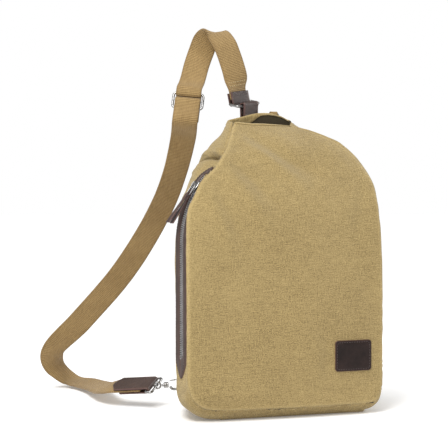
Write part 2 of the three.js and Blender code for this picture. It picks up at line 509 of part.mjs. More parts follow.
for (let k = 1; k <= 8; k++) {
    const a = Math.PI * k / 8; hookPath.push(hk(25.5 + 5.4 * Math.sin(a), -5.4 * Math.cos(a))); }
hookPath.push(hk(23.2, 5.4));
wire('hook_body', hookPath, hookSide, 1.6, false, 10);
wire('hook_gate', [hk(15.4, 4.9), hk(19, 5.2), hk(22.8, 5.4)], hookSide, 0.85, false, 8);

// ---- Rings low on the back.
function lowRing(side, x, out) {
  const bar = v(x, 55.1, 28), loop = [v(x, 52.4, 15), v(x, 52.4, 22)];
  for (let k = 0; k <= 8; k++) {
      const a = Math.PI * k / 8; loop.push(v(x, bar.y - 2.7 * Math.cos(a), bar.z + 2.7 * Math.sin(a))); }
  loop.push(v(x, 56.8, 21), v(x, 55, 15));
  band(`ring_anchor_${side}`, loop, v(1, 0, 0), 18, 1.6);
  const path = [], W = 13.6, straight = 8;
  const put = (a, b) => path.push(plus(bar, [v(1, 0, 0), a], [out, b]));
  put(W - 2, 0); put(W - 0.6, 0.6); put(W, 2);
  for (let k = 0; k <= 10; k++) {
      const a = Math.PI * k / 10; put(W * Math.cos(a), straight + W * Math.sin(a)); }
  put(-W, 2); put(-W + 0.6, 0.6); put(-W + 2, 0);
  wire(`d_ring_${side}`, path, v(1, 0, 0).cross(out), 1.5, true, 10);
}
lowRing('left', -75.4, unit(0, 7.4, -2));
lowRing('right', 76.4, unit(0, 0.12, -1));

// ---- Small loop and ring behind the mouth.
{
  const bar = v(22, 52.5, 339);
  band('eyelet_loop', fold(bar, v(1, 0, 0), unit(0, -0.12, -1), 2.2, 18, 18, -0.6), v(1, 0, 0), 9, 1.2);
  wire('eyelet_ring', roundedLoop(plus(bar, [unit(0, 0.5, -0.87), 5.4]), v(1, 0, 0), unit(0, 0.5, -0.87),
      6.4, 5.4, 1.6), v(1, 0, 0).cross(unit(0, 0.5, -0.87)), 1.0, true, 8);
}

// ---- Finishes: the colour, roughness and metalness of each piece.
const FINISHES = [
  { look: { color: 0xa99165, roughness: 0.9, metalness: 0 },
    pieces: ['front_panel', 'back_panel', 'left_gusset', 'right_gusset', 'bottom_panel',
      'mouth_facing_front', 'mouth_facing_back'] },
  { look: { color: 0x66553a, roughness: 0.9, metalness: 0 }, pieces: ['inner_pocket'] },
  { look: { color: 0x4d4d4d, roughness: 0.95, metalness: 0 }, pieces: ['back_pad'] },
  { look: { color: 0x5c5038, roughness: 0.8, metalness: 0 }, pieces: ['base_board'] },
  { look: { color: 0xb8b5b2, roughness: 0.25, metalness: 1 },
    pieces: ['magnet_front', 'magnet_back', 'top_ring', 'adjuster_frame', 'adjuster_bar', 'end_ring',
      'swivel_eye', 'swivel_post', 'hook_barrel', 'hook_body', 'hook_gate', 'd_ring_left', 'd_ring_right',
      'eyelet_ring', 'slider_body', 'slider_bridge', 'puller_link'] },
  { look: { color: 0x99948f, roughness: 0.35, metalness: 1 },
    pieces: ['zip_teeth_front', 'zip_teeth_rear', 'zip_bottom_stop'] },
  { look: { color: 0x3a2d2a, roughness: 0.9, metalness: 0 }, pieces: ['zip_tape_front', 'zip_tape_rear'] },
  { look: { color: 0x3d312f, roughness: 0.5, metalness: 0 },
    pieces: ['zip_trim', 'leather_patch', 'anchor_tab', 'strap_wrap', 'end_tab', 'puller_thong'] },
  { look: { color: 0xa88c5f, roughness: 0.85, metalness: 0 },
    pieces: ['webbing_upper', 'webbing_lower', 'ring_anchor_left', 'ring_anchor_right', 'eyelet_loop'] },
];
for (const { look, pieces } of FINISHES) {
  for (const name of pieces) group.getObjectByName(name).material = new THREE.MeshStandardMaterial(look);
}

export default group;
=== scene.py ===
import math

import bmesh
import bpy
import numpy as np
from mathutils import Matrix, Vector, noise


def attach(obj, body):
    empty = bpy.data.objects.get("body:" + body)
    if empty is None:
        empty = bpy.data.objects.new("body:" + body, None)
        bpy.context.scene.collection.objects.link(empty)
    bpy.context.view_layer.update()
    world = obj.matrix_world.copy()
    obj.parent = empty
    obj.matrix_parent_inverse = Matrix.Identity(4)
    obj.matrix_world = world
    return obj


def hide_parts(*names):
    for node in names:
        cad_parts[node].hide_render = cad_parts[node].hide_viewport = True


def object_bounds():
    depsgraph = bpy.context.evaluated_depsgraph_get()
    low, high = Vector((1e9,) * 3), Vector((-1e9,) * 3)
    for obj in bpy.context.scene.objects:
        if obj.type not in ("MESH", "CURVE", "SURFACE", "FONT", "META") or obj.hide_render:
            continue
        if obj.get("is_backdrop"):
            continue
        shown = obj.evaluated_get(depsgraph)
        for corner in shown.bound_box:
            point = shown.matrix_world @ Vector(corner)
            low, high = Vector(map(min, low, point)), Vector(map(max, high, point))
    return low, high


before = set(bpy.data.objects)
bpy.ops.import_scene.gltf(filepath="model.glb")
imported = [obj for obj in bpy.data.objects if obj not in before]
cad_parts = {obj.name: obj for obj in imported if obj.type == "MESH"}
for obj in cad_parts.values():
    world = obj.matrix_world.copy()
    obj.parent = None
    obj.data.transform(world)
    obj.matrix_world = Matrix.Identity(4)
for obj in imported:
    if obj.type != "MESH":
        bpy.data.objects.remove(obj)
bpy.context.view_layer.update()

MM = 0.001          # lengths below are in millimetres
CANVAS, CLEAR, SEAM_BACK, WEB_W, WEB_T = 1.6, 0.3, 2.2, 30.0, 2.4
UP = np.array([0.0, 0.0, 1.0])


# ---------------------------------------------------------------- vectors and curves
def V(*p):
    return np.array(p, float)


def unit(*p):
    v = np.array(p[0] if len(p) == 1 else p, float)
    return v / np.maximum(1e-9, np.linalg.norm(v, axis=-1, keepdims=True))


def square_to(w, t):
    """w made square to t, of length one."""
    return unit(w - t * np.sum(w * t, -1, keepdims=True))


def through(points, steps):
    """Smooth curve through the points, with that number of steps in each interval."""
    P = np.array(points, float)
    steps = [steps] * (len(P) - 1) if np.isscalar(steps) else list(steps)
    E = np.concatenate([[2 * P[0] - P[1]], P, [2 * P[-1] - P[-2]]])
    knot = lambda p, q: np.maximum(1e-4, np.sum((q - p) ** 2, -1, keepdims=True)) ** 0.25
    out = []
    for i, n in enumerate(steps):
        p0, p1, p2, p3 = E[i:i + 4]
        a, b, c = knot(p0, p1), knot(p1, p2), knot(p2, p3)
        t1 = ((p1 - p0) / a - (p2 - p0) / (a + b) + (p2 - p1) / b) * b
        t2 = ((p2 - p1) / b - (p3 - p1) / (b + c) + (p3 - p2) / c) * b
        for t in np.arange(n) / n:
            out.append(p1 + t1 * t + (3 * (p2 - p1) - 2 * t1 - t2) * t * t
                       + (2 * (p1 - p2) + t1 + t2) * t ** 3)
    out.append(P[-1])
    return np.array(out)


def refine(rows, down, across):
    wide = through(np.swapaxes(np.array(rows, float), 0, 1), across)
    return through(np.swapaxes(wide, 0, 1), down)


def lengths(path):
    return np.concatenate([[0], np.cumsum(np.linalg.norm(np.diff(path, axis=0), axis=1))])


def at_lengths(q, s, a):
    return np.stack([np.interp(q, s, a[:, k]) for k in range(a.shape[1])], 1)


def even(path, step, *others):
    """The path resampled at an even step, and the other rows of vectors with it."""
    s = lengths(path)
    q = np.linspace(0, s[-1], max(2, int(round(s[-1] / step)) + 1))
    return [at_lengths(q, s, np.array(a, float)) for a in (path, *others)]


def tangents(path, closed=False):
    if closed:
        return unit(np.roll(path, -1, 0) - np.roll(path, 1, 0))
    return unit(np.gradient(path, axis=0))


def normals(G, inside=V(0, 0, 120)):
    N = unit(np.cross(np.gradient(G, axis=1), np.gradient(G, axis=0)))
    return N if np.sum((G - inside) * N) > 0 else -N


def wob(p, size, seed):
    """Smooth noise about zero at each point, with features of that size."""
    flat = np.reshape(p, (-1, 3)) / size + seed * 7.31
    return np.array([noise.noise(Vector(q)) for q in flat]).reshape(np.shape(p)[:-1])


def smooth(x, a, b):
    t = np.clip((x - a) / (b - a), 0, 1)
    return t * t * (3 - 2 * t)


def bell(x, centre, width):
    return np.exp(-(((x - centre) / width) ** 2))


# ---------------------------------------------------------------- materials
class Shader:
    """A material's node tree, with short calls for the nodes used here."""

    def __init__(self, name):
        self.material = bpy.data.materials.new(name)
        self.material.use_nodes = True
        self.tree = self.material.node_tree
        self.bsdf = self.tree.nodes["Principled BSDF"]

    def fill(self, socket, value):
        if isinstance(value, bpy.types.NodeSocket):
            self.tree.links.new(value, socket)
        else:
            socket.default_value = value

    def node(self, kind, inputs=(), **attributes):
        n = self.tree.nodes.new("ShaderNode" + kind)
        for k, v in attributes.items():
            setattr(n, k, v)
        for k, v in dict(inputs).items():
            self.fill(n.inputs[k], v)
        return n

    def math(self, op, a, b=0.0):
        return self.node("Math", {0: a, 1: b}, operation=op).outputs[0]

    def times(self, a, b):
        return self.math("MULTIPLY", a, b)

    def total(self, *terms):
        """The sum of the terms. A term is a value, or a value and its weight."""
        out = None
        for term in terms:
            part = self.times(*term) if isinstance(term, tuple) else term
            out = part if out is None else self.math("ADD", out, part)
        return out

    def either(self, over, a, b):
        return self.total((a, over), (b, self.math("SUBTRACT", 1.0, over)))

    def wave(self, x, pitch):
        return self.math("SINE", self.times(x, math.pi / pitch))

    def ribs(self, x, pitch):
        return self.math("ABSOLUTE", self.wave(x, pitch))

    def uv(self):
        xyz = self.node("SeparateXYZ", {0: self.node("UVMap", uv_map="UVMap").outputs[0]})
        return xyz.outputs[0], xyz.outputs[1]

    def vec(self, x, y, z=0.0):
        return self.node("CombineXYZ", {0: x, 1: y, 2: z}).outputs[0]

    def place(self):
        return self.node("TexCoord").outputs["Object"]

    def noise(self, vector, scale, detail=2.0, rough=0.5, distortion=0.0):
        return self.node("TexNoise", {"Vector": vector, "Scale": scale, "Detail": detail,
                                      "Roughness": rough, "Distortion": distortion}).outputs[0]

    def ramp(self, fac, *stops):
        n = self.node("ValToRGB", {0: fac})
        e = n.color_ramp.elements
        while len(e) < len(stops):
            e.new(0.5)
        for s, (at, c) in zip(e, stops):
            s.position, s.color = at, (*c, 1)
        return n.outputs[0]

    def range(self, fac, a, b, lo=0.0, hi=1.0):
        return self.node("MapRange", {0: fac, 1: lo, 2: hi, 3: a, 4: b}).outputs[0]

    def mix(self, fac, a, b):
        n = self.node("Mix", {0: fac, 6: a, 7: (*b, 1)}, data_type="RGBA")
        return n.outputs[2]

    def wear(self):
        return self.node("Attribute", attribute_name="wear").outputs["Fac"]

    def finish(self, colour, roughness, height=None, distance=0.0003, strength=1.0, **plain):
        self.fill(self.bsdf.inputs["Base Color"], colour)
        self.fill(self.bsdf.inputs["Roughness"], roughness)
        if height is not None:
            bump = self.node("Bump", {"Height": height, "Distance": distance, "Strength": strength})
            self.tree.links.new(bump.outputs[0], self.bsdf.inputs["Normal"])
        for k, v in plain.items():
            self.bsdf.inputs[k.replace("_", " ")].default_value = v
        return self.material


def weave_material(name, dark, light, thread=1.15, mottle=0.5, depth=0.00032, sheen=0.25, rough=0.86):
    """Plain weave of round yarns with slubs, in a panel's own flat coordinates."""
    s = Shader(name)
    u, v = s.uv()
    p = s.place()
    LEAN, n = 0.0016, 1 / (thread * MM)
    u2 = s.total(u, (s.math("SUBTRACT", s.noise(p, 210, 2, 0.5), 0.5), LEAN))
    v2 = s.total(v, (s.math("SUBTRACT", s.noise(p, 180, 2, 0.5, 1.0), 0.5), LEAN))
    su, sv = s.wave(u2, thread * MM), s.wave(v2, thread * MM)
    over = s.node("MapRange", {0: s.times(su, sv), 1: -0.25, 2: 0.25}, clamp=True).outputs[0]
    height = s.either(over, s.math("ABSOLUTE", su), s.math("ABSOLUTE", sv))
    warp = s.noise(s.vec(s.times(u, n), s.times(v, n * 0.13)), 1.0, 2, 0.6)
    weft = s.noise(s.vec(s.times(u, n * 0.13), s.times(v, n), 3.7), 1.0, 2, 0.6)
    yarn = s.either(over, warp, weft)
    spots = s.noise(s.vec(u, s.times(v, 1.35)), 600, 3, 0.55)
    tone = s.total((yarn, 0.5), (spots, mottle), (s.noise(p, 14, 3, 0.55), 0.16), (height, 0.16))
    middle = tuple(0.62 * a + 0.38 * b for a, b in zip(dark, light))
    rubbed = tuple(min(1, c * 1.28 + 0.02) for c in light)
    colour = s.ramp(tone, (0.46, dark), (0.66, middle), (0.86, light))
    colour = s.mix(s.times(s.wear(), s.range(spots, 0.25, 0.75)), colour, rubbed)
    fine = s.total(height, (s.noise(p, 2600, 2, 0.7), 0.5), (yarn, 0.9))
    return s.finish(colour, s.range(tone, rough + 0.06, rough - 0.08), fine, depth, 0.9, Sheen_Weight=sheen,
                    Sheen_Roughness=0.5, Sheen_Tint=(1.0, 0.93, 0.78, 1.0), Specular_IOR_Level=0.25)


def webbing_material(name, dark, light):
    """Heavy webbing: ribs across the strap, a fine yarn along it and darker selvedges."""
    s = Shader(name)
    u, v = s.uv()
    p = s.place()
    v2 = s.total(v, (s.math("SUBTRACT", s.noise(p, 160, 2), 0.5), 0.0008))
    rib = s.ribs(s.total(v2, (s.ribs(u, 0.0021), 0.00035)), 0.00185)
    streak = s.noise(s.vec(s.times(u, 900), s.times(v, 90)), 1.0, 3, 0.6)
    tone = s.total((rib, 0.36), (streak, 0.45), (s.noise(p, 26, 3, 0.5), 0.25))
    colour = s.mix(s.times(s.wear(), 0.45), s.ramp(tone, (0.3, dark), (0.78, light)), dark)
    height = s.total(rib, (s.ribs(u, 0.00105), 0.35), (s.noise(p, 2400, 2, 0.7), 0.4))
    return s.finish(colour, s.range(tone, 0.92, 0.76), height, 0.0004, 0.9,
                    Sheen_Weight=0.18, Sheen_Roughness=0.5, Specular_IOR_Level=0.25)


def leather_material(name, dark, light, gloss=0.42, shine=0.5, coat=0.12):
    """Smooth waxed leather: fine pebble grain, creases, rubbed edges."""
    s = Shader(name)
    p = s.place()
    cells = s.node("TexVoronoi", {"Vector": p, "Scale": 900, "Randomness": 1.0}, feature="DISTANCE_TO_EDGE")
    pebble = s.range(cells.outputs[0], 0.0, 1.0, 0.0, 0.22)
    crease = s.noise(p, 160, 4, 0.6, 1.2)
    tone = s.total((s.noise(p, 55, 4, 0.6), 0.7), (crease, 0.3), (s.wear(), 0.55))
    colour = s.ramp(tone, (0.34, dark), (0.95, light))
    colour = s.mix(s.range(pebble, 0.30, 0.0), colour, tuple(c * 0.45 for c in dark))
    height = s.total((pebble, 0.5), (crease, 0.9), (s.noise(p, 3200, 2), 0.25))
    matt = s.range(s.noise(p, 240, 3, 0.6), gloss - 0.08, gloss + 0.16)
    return s.finish(colour, matt, height, 0.00018, 0.8,
                    Specular_IOR_Level=shine, Coat_Weight=coat, Coat_Roughness=0.3)


def metal_material(name, dark, light, rough=0.2):
    s = Shader(name)
    p = s.place()
    cloud = s.noise(p, 130, 3, 0.6)
    lines = s.noise(s.node("Mapping", {0: p, 3: (1.0, 1.0, 14.0)}).outputs[0], 420, 2, 0.6)
    tone = s.total((cloud, 0.8), (s.wear(), 0.3))
    shine = s.range(s.total(cloud, (lines, 0.5)), rough - 0.06, rough + 0.2, 0.3, 1.2)
    height = s.total((lines, 0.5), s.noise(p, 900, 2))
    return s.finish(s.ramp(tone, (0.25, dark), (0.8, light)), shine, height, 0.00004, 0.6, Metallic=1.0)


def thread_material(name, dark, light):
    s = Shader(name)
    ply = s.ribs(s.total(*s.uv()), 0.00045)
    n = s.noise(s.place(), 900, 2)
    return s.finish(s.ramp(s.total((ply, 0.4), (n, 0.6)), (0.3, dark), (0.8, light)), s.range(n, 0.7, 0.5),
                    ply, 0.00008, 0.8, Sheen_Weight=0.2)


def cloudy_material(name, dark, light, grain, grain_detail, matt, fine, depth, strength):
    """A plain surface with a fine uneven grain, such as painted leather edges, board or foam."""
    s = Shader(name)
    p = s.place()
    n = s.noise(p, *grain)
    return s.finish(s.ramp(n, (0.3, dark), (0.75, light)), s.range(n, *matt), s.noise(p, fine, grain_detail),
                    depth, strength)


def board_material(name, dark, light):
    return cloudy_material(name, dark, light, (240, 4, 0.65), 3, (0.7, 0.9), 900, 0.0002, 0.8)


CLOTH = weave_material("canvas", (0.136, 0.089, 0.029), (0.468, 0.345, 0.146), mottle=0.6)
# Lining: its own dark olive cotton colour, made darker still as painted shade, for the shade inside the bag's
# mouth.
LINING_WITH_PAINTED_SHADE = weave_material("lining", (0.045, 0.034, 0.018), (0.105, 0.084, 0.048), thread=0.5, mottle=0.3,
                        depth=0.0001, sheen=0.1)
WEBBING = webbing_material("webbing", (0.150, 0.088, 0.030), (0.410, 0.275, 0.115))
TAPE = webbing_material("zip_tape", (0.018, 0.011, 0.010), (0.062, 0.040, 0.036))
LEATHER = leather_material("leather", (0.026, 0.0125, 0.0090), (0.110, 0.060, 0.045))
PATCH = leather_material("patch_leather", (0.0100, 0.0050, 0.0042), (0.042, 0.0225, 0.0185),
                         gloss=0.5, shine=0.22, coat=0.0)
EDGE = cloudy_material("leather_edge", (0.050, 0.020, 0.017), (0.120, 0.054, 0.045), (600, 3, 0.6), 3,
                       (0.38, 0.6), 1400, 0.00015, 0.7)
METAL = metal_material("metal", (0.20, 0.195, 0.19), (0.56, 0.55, 0.535))
TEETH = metal_material("zip_teeth", (0.20, 0.19, 0.19), (0.62, 0.61, 0.60), rough=0.3)
THREAD = thread_material("thread", (0.36, 0.27, 0.13), (0.66, 0.54, 0.31))
DARK_THREAD = thread_material("dark_thread", (0.030, 0.018, 0.016), (0.095, 0.060, 0.052))
BOARD = board_material("board", (0.16, 0.13, 0.09), (0.30, 0.25, 0.18))

# What a piece is made of, the body that it rides on and its slot in the record.
SEWN_CANVAS = ([CLOTH, LINING_WITH_PAINTED_SHADE], "bag", "canvas")
WEB = (WEBBING, "bag", "webbing")
HIDE = ([LEATHER, EDGE], "bag", "leather")
HARDWARE = (METAL, "bag", "metal")
LEATHER_THREAD = (DARK_THREAD, "bag", "leather")
WEB_THREAD = (THREAD, "bag", "webbing")
SLIDER = (METAL, "slider", "metal")
HOOK = (METAL, "hook", "metal")


# ---------------------------------------------------------------- mesh makers
def make(name, points, faces, kind, uv, which=None, wear=None, stands_for=()):
    """A mesh piece from points in millimetres. uv is one (u, v) in millimetres for each face corner."""
    mats, body, slot = kind
    me = bpy.data.meshes.new(name)
    me.from_pydata((np.asarray(points, float).reshape(-1, 3) * MM).tolist(), [],
                   [list(map(int, f)) for f in faces])
    me.uv_layers.new(name="UVMap").data.foreach_set("uv", (np.asarray(uv, float) * MM).ravel())
    if wear is not None:
        at = me.attributes.new("wear", "FLOAT", "POINT")
        at.data.foreach_set("value", np.asarray(wear, np.float32).ravel())
    for m in mats if isinstance(mats, list) else [mats]:
        me.materials.append(m)
    if which is not None:
        me.polygons.foreach_set("material_index", np.asarray(which, np.int32))
    me.polygons.foreach_set("use_smooth", [True] * len(me.polygons))
    me.validate()
    me.update()
    ob = bpy.data.objects.new(name, me)
    bpy.context.scene.collection.objects.link(ob)
    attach(ob, body)
    if stands_for:
        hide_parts(*stands_for)
    return ob


def fix_normals(ob):
    bm = bmesh.new()
    bm.from_mesh(ob.data)
    bmesh.ops.recalc_face_normals(bm, faces=bm.faces)
    bm.to_mesh(ob.data)
    bm.free()
    return ob


def loft(n, k, uv, caps=None):
    """Faces between n rings of k points and over both ends. With no caps the rings close on themselves.
    uv is (rings, k + 1, 2), and caps is the (k, 2) of each end."""
    faces, out = [], []
    for i in range(n - 1 if caps is not None else n):
        j = (i + 1) % n
        for a in range(k):
            b = (a + 1) % k
            faces.append([i * k + a, i * k + b, j * k + b, j * k + a])
            out += [uv[i][a], uv[i][a + 1], uv[i + 1][a + 1], uv[i + 1][a]]
    if caps is not None:
        for i, order, flat in ((0, range(k - 1, -1, -1), caps[0]), (n - 1, range(k), caps[1])):
            faces.append([i * k + a for a in order])
            out += [flat[a] for a in order]
    return faces, out


def copies(count, per, faces, uv):
    """The same faces again for each of several bodies, and their uv."""
    return [[q * per + a for a in f] for q in range(count) for f in faces], list(uv) * count


def sweep(name, path, ex, ey, section, kind, closed=False, uv_u=None, which=None, wear=0.0, stands_for=()):
    """A closed section carried along a path. section is (k, 2), or (n, k, 2) with one for each station."""
    n = len(path)
    S = np.asarray(section, float)
    S = np.broadcast_to(S, (n, *S.shape[-2:]))
    k = S.shape[1]
    P = path[:, None] + ex[:, None] * S[..., :1] + ey[:, None] * S[..., 1:]
    u = lengths(np.concatenate([S[n // 2], S[n // 2][:1]])) if uv_u is None else np.append(uv_u, uv_u[0])
    s = lengths(path)
    if closed:
        s = np.append(s, s[-1] + np.linalg.norm(path[0] - path[-1]))
    uv = np.stack(np.broadcast_arrays(u[None], s[:, None]), -1)
    caps = None if closed else [S[i] + V(0, s[i]) for i in (0, n - 1)]
    faces, out = loft(n, k, uv, caps)
    which = [0] * k if which is None else list(which)
    mat = which * (n if closed else n - 1) + ([] if closed else [max(which)] * 2)
    if np.sum(np.cross(ex, ey) * tangents(path, closed)) < 0:
        corners = iter(out)
        out = [q for f in faces for q in [next(corners) for _ in f][::-1]]
        faces = [f[::-1] for f in faces]
    return make(name, P, faces, kind, out, mat, np.broadcast_to(wear, (n, k)), stands_for)


def flat_section(w, t, across, corner=4, crown=0.0):
    """Rounded flat section: its points, and 1 for each side of it that is on a narrow edge."""
    r, hx, hy = 0.48 * t, w / 2, t / 2
    turn = [math.pi / 2 * k / corner for k in range(corner)]
    half = [(x, -hy - crown * (1 - (x / hx) ** 2)) for x in np.linspace(r - hx, hx - r, across + 1)]
    half += [(hx - r + r * math.sin(a), -hy + r - r * math.cos(a)) for a in turn[1:]]
    half.append((hx, -hy + r))
    half += [(hx - r + r * math.cos(a), hy - r + r * math.sin(a)) for a in turn[0 if hy - r > 0.02 else 1:]]
    edge = 2 * ([0] * (across + 1) + [1] * (len(half) - across - 1))
    which = [a & b for a, b in zip(edge, edge[1:] + edge[:1])]
    return np.concatenate([half, -np.array(half)]), which


def band(name, path, across, width, thick, kind, stands_for=(), step=2.0, crown=0.0, cols=10, sway=0.0,
         seed=1):
    """A flat strip along a path. width may be a function of 0..1 along it."""
    across = np.broadcast_to(np.asarray(across, float), np.shape(path))
    path, across = even(np.asarray(path, float), step, across)
    w = square_to(across, tangents(path))
    h = np.cross(tangents(path), w)
    wid = np.array([width(x) if callable(width) else width for x in np.linspace(0, 1, len(path))], float)
    widest = wid.max()
    sec, which = flat_section(widest, thick, cols, crown=crown)
    S = np.repeat(sec[None], len(path), 0)
    S[..., 0] *= (wid / widest)[:, None]
    if sway:
        q = path[:, None] + w[:, None] * S[..., :1]
        S[..., 1] += sway * wob(q, 26.0, seed) + 0.35 * sway * wob(q, 9.0, seed + 3)
    wear = smooth(np.abs(sec[:, 0]), widest / 2 - 2.2, widest / 2 - 0.2)
    which = which if isinstance(kind[0], list) else None
    return sweep(name, path, w, h, S, kind, uv_u=sec[:, 0], which=which, wear=wear, stands_for=stands_for)


def wire(name, path, up, r, closed, kind, stands_for=(), sides=20, step=0.8):
    """Round bar along a path in one plane, with rounded ends. up is that plane's normal."""
    path = np.asarray(path, float)
    if closed:
        path = even(np.concatenate([path, path[:1]]), step)[0][:-1]
    else:
        path = even(path, step)[0]
    t = tangents(path, closed)
    s = unit(np.cross(np.broadcast_to(up, t.shape), t))
    a = 2 * math.pi * (np.arange(sides) + 0.5) / sides
    S = np.repeat(np.stack([r * np.cos(a), r * np.sin(a)], 1)[None], len(path), 0)
    if not closed:
        q = lengths(path)
        end = np.clip(np.minimum(q, q[-1] - q) / (0.6 * r), 0, 1)
        S = S * np.sqrt(np.clip(1 - (1 - end) ** 2, 0.06, 1))[:, None, None]
    return sweep(name, path, s, np.cross(t, s), S, kind, closed=closed, stands_for=stands_for)


def rounded_loop(c, ex, ey, hx, hy, r, n=8):
    out = []
    for sx, sy, a0 in ((1, 1, 0), (-1, 1, 90), (-1, -1, 180), (1, -1, 270)):
        for k in range(n + 1):
            a = math.radians(a0 + 90 * k / n)
            out.append(c + ex * (sx * (hx - r) + r * math.cos(a)) + ey * (sy * (hy - r) + r * math.sin(a)))
    return np.array(out)


def rounded(hx, hy, r, n=8):
    return rounded_loop(V(0, 0, 0), V(1, 0, 0), V(0, 1, 0), hx, hy, r, n)[:, :2]


def disc(r, n=40):
    a = 2 * math.pi * np.arange(n) / n
    return np.stack([r * np.cos(a), r * np.sin(a)], 1)


def shrink(outline, d):
    """A convex outline, given anticlockwise, moved in by d."""
    t = unit(np.roll(outline, -1, 0) - np.roll(outline, 1, 0))
    return outline + np.stack([-t[:, 1], t[:, 0]], 1) * d


def plate(name, c, axes, outline, profile, kind, stands_for=(), bend=None, which=None, wear=None, shape=None):
    """A convex outline in the plane of the first two axes, with rings at (inset, height) down one face,
    round the rim and down the other."""
    ex, ey, ez = axes
    k, n = len(outline), len(profile)
    flat = np.array([shape(inset) if shape else shrink(outline, inset) for inset, _ in profile])
    z = np.array([h for _, h in profile])[:, None, None]
    pts = (c + flat[..., :1] * ex + flat[..., 1:] * ey + z * ez).reshape(-1, 3)
    pts = bend(pts) if bend else pts
    faces, uv = loft(n, k, np.concatenate([flat, flat[:, :1]], 1), [flat[0], flat[-1]])
    rings = [0] * (n - 1) if which is None else which
    mat = [m for m in rings for _ in range(k)] + [rings[0], rings[-1]]
    wear = np.repeat(np.array([0.0] * n if wear is None else wear)[:, None], k, 1)
    return fix_normals(make(name, pts, faces, kind, uv, mat, wear, stands_for))


def stitches(name, path, outward, kind, pitch=3.6, length=2.7, r=0.36):
    """A row of thread stitches along a path, each a short bent capsule sunk a little into the surface."""
    SIDES, SINK = 6, 0.15
    path, outward = even(np.asarray(path, float), pitch, np.broadcast_to(outward, np.shape(path)))
    c = (path[:-1] + path[1:]) / 2
    t = unit(path[1:] - path[:-1])
    n = square_to((outward[:-1] + outward[1:]) / 2, t)
    b = np.cross(t, n)
    c = c + b * np.random.default_rng(len(c) + 11).normal(0, 0.06, (len(c), 1))
    xs = np.array([-0.5, -0.46, -0.32, 0.0, 0.32, 0.46, 0.5]) * length
    rs = np.array([0.25, 0.7, 0.95, 1.0, 0.95, 0.7, 0.25]) * r
    hs = np.array([-1.0, -0.55, 0.1, 0.35, 0.1, -0.55, -1.0]) * r + r * 0.4 - SINK
    a = 2 * math.pi * np.arange(SIDES) / SIDES
    P = (c[:, None, None] + t[:, None, None] * xs[None, :, None, None]
         + n[:, None, None] * (hs[:, None] + rs[:, None] * np.sin(a)[None])[None, ..., None]
         + b[:, None, None] * (rs[:, None] * np.cos(a)[None])[None, ..., None])
    uv = np.stack(np.broadcast_arrays(np.arange(SIDES + 1)[None], xs[:, None]), -1)
    faces, uv = loft(len(xs), SIDES, uv, [uv[0], uv[-1]])
    faces, uv = copies(len(c), len(xs) * SIDES, faces, uv)
    return fix_normals(make(name, P, faces, kind, uv))


def cloth(name, G, N, kind, thick=CANVAS, keep=None, wear=0.0, stands_for=(), inner=1):
    """A panel with its outer face on the grid and its lining inside, closed round edges and openings."""
    m, n = G.shape[0] - 1, G.shape[1] - 1
    T = np.broadcast_to(np.asarray(thick, float), G.shape[:2])[..., None]
    pts = np.concatenate([G.reshape(-1, 3), (G - N * T).reshape(-1, 3)])
    half = (m + 1) * (n + 1)
    du = np.cumsum(np.pad(np.linalg.norm(np.diff(G, axis=1), axis=2), ((0, 0), (1, 0))), 1)
    dv = np.cumsum(np.pad(np.linalg.norm(np.diff(G, axis=0), axis=2), ((1, 0), (0, 0))), 0)
    du = du - du[:, n // 2][:, None]
    U = np.stack([du, np.broadcast_to(dv[:, n // 2][:, None], dv.shape)], -1).reshape(-1, 2)
    shut = np.ones((m, n), bool) if keep is None else keep
    beside = np.pad(shut, 1)
    faces, uv, mat = [], [], []

    def quad(k, *corners):
        q = [s * half + i * (n + 1) + j for i, j, s in corners]
        faces.append(q)
        uv.extend(U[x % half] for x in q)
        mat.append(k)

    for i, j in zip(*np.nonzero(shut)):
        a, b = i + 1, j + 1
        quad(0, (i, j, 0), (i, b, 0), (a, b, 0), (a, j, 0))
        quad(inner, (i, j, 1), (a, j, 1), (a, b, 1), (i, b, 1))
        if not beside[a - 1, b]:
            quad(0, (i, b, 0), (i, j, 0), (i, j, 1), (i, b, 1))
        if not beside[a + 1, b]:
            quad(0, (a, j, 0), (a, b, 0), (a, b, 1), (a, j, 1))
        if not beside[a, b - 1]:
            quad(0, (i, j, 0), (a, j, 0), (a, j, 1), (i, j, 1))
        if not beside[a, b + 1]:
            quad(0, (a, b, 0), (i, b, 0), (i, b, 1), (a, b, 1))
    used = np.unique(faces)
    back = np.full(len(pts), -1)
    back[used] = np.arange(len(used))
    wr = np.broadcast_to(wear, G.shape[:2]).ravel()
    wr = np.concatenate([wr, wr])[used]
    return fix_normals(make(name, pts[used], back[np.array(faces)], kind, uv, mat, wr, stands_for))


# ---------------------------------------------------------------- camera, light and floor
def aimed(name, data, at, to):
    ob = bpy.data.objects.new(name, data)
    scene.collection.objects.link(ob)
    ob.location = at
    ob.rotation_mode = "QUATERNION"
    ob.rotation_quaternion = (Vector(to) - Vector(at)).to_track_quat("-Z", "Y")
    return ob


def area_light(name, at, to, size, power):
    data = bpy.data.lights.new(name, "AREA")
    data.shape, data.size, data.energy = "DISK", size, power
    aimed(name, data, at, to)


scene = bpy.context.scene
scene.view_settings.view_transform = "Standard"
scene.camera = aimed("camera", bpy.data.cameras.new("camera"), (-0.4445, -1.2213, 0.230),
                     (-0.0496, 0.0181, 0.2110))
scene.camera.data.sensor_width, scene.camera.data.lens = 36.0, 92.97
scene.camera.data.clip_start, scene.camera.data.clip_end = 0.05, 60

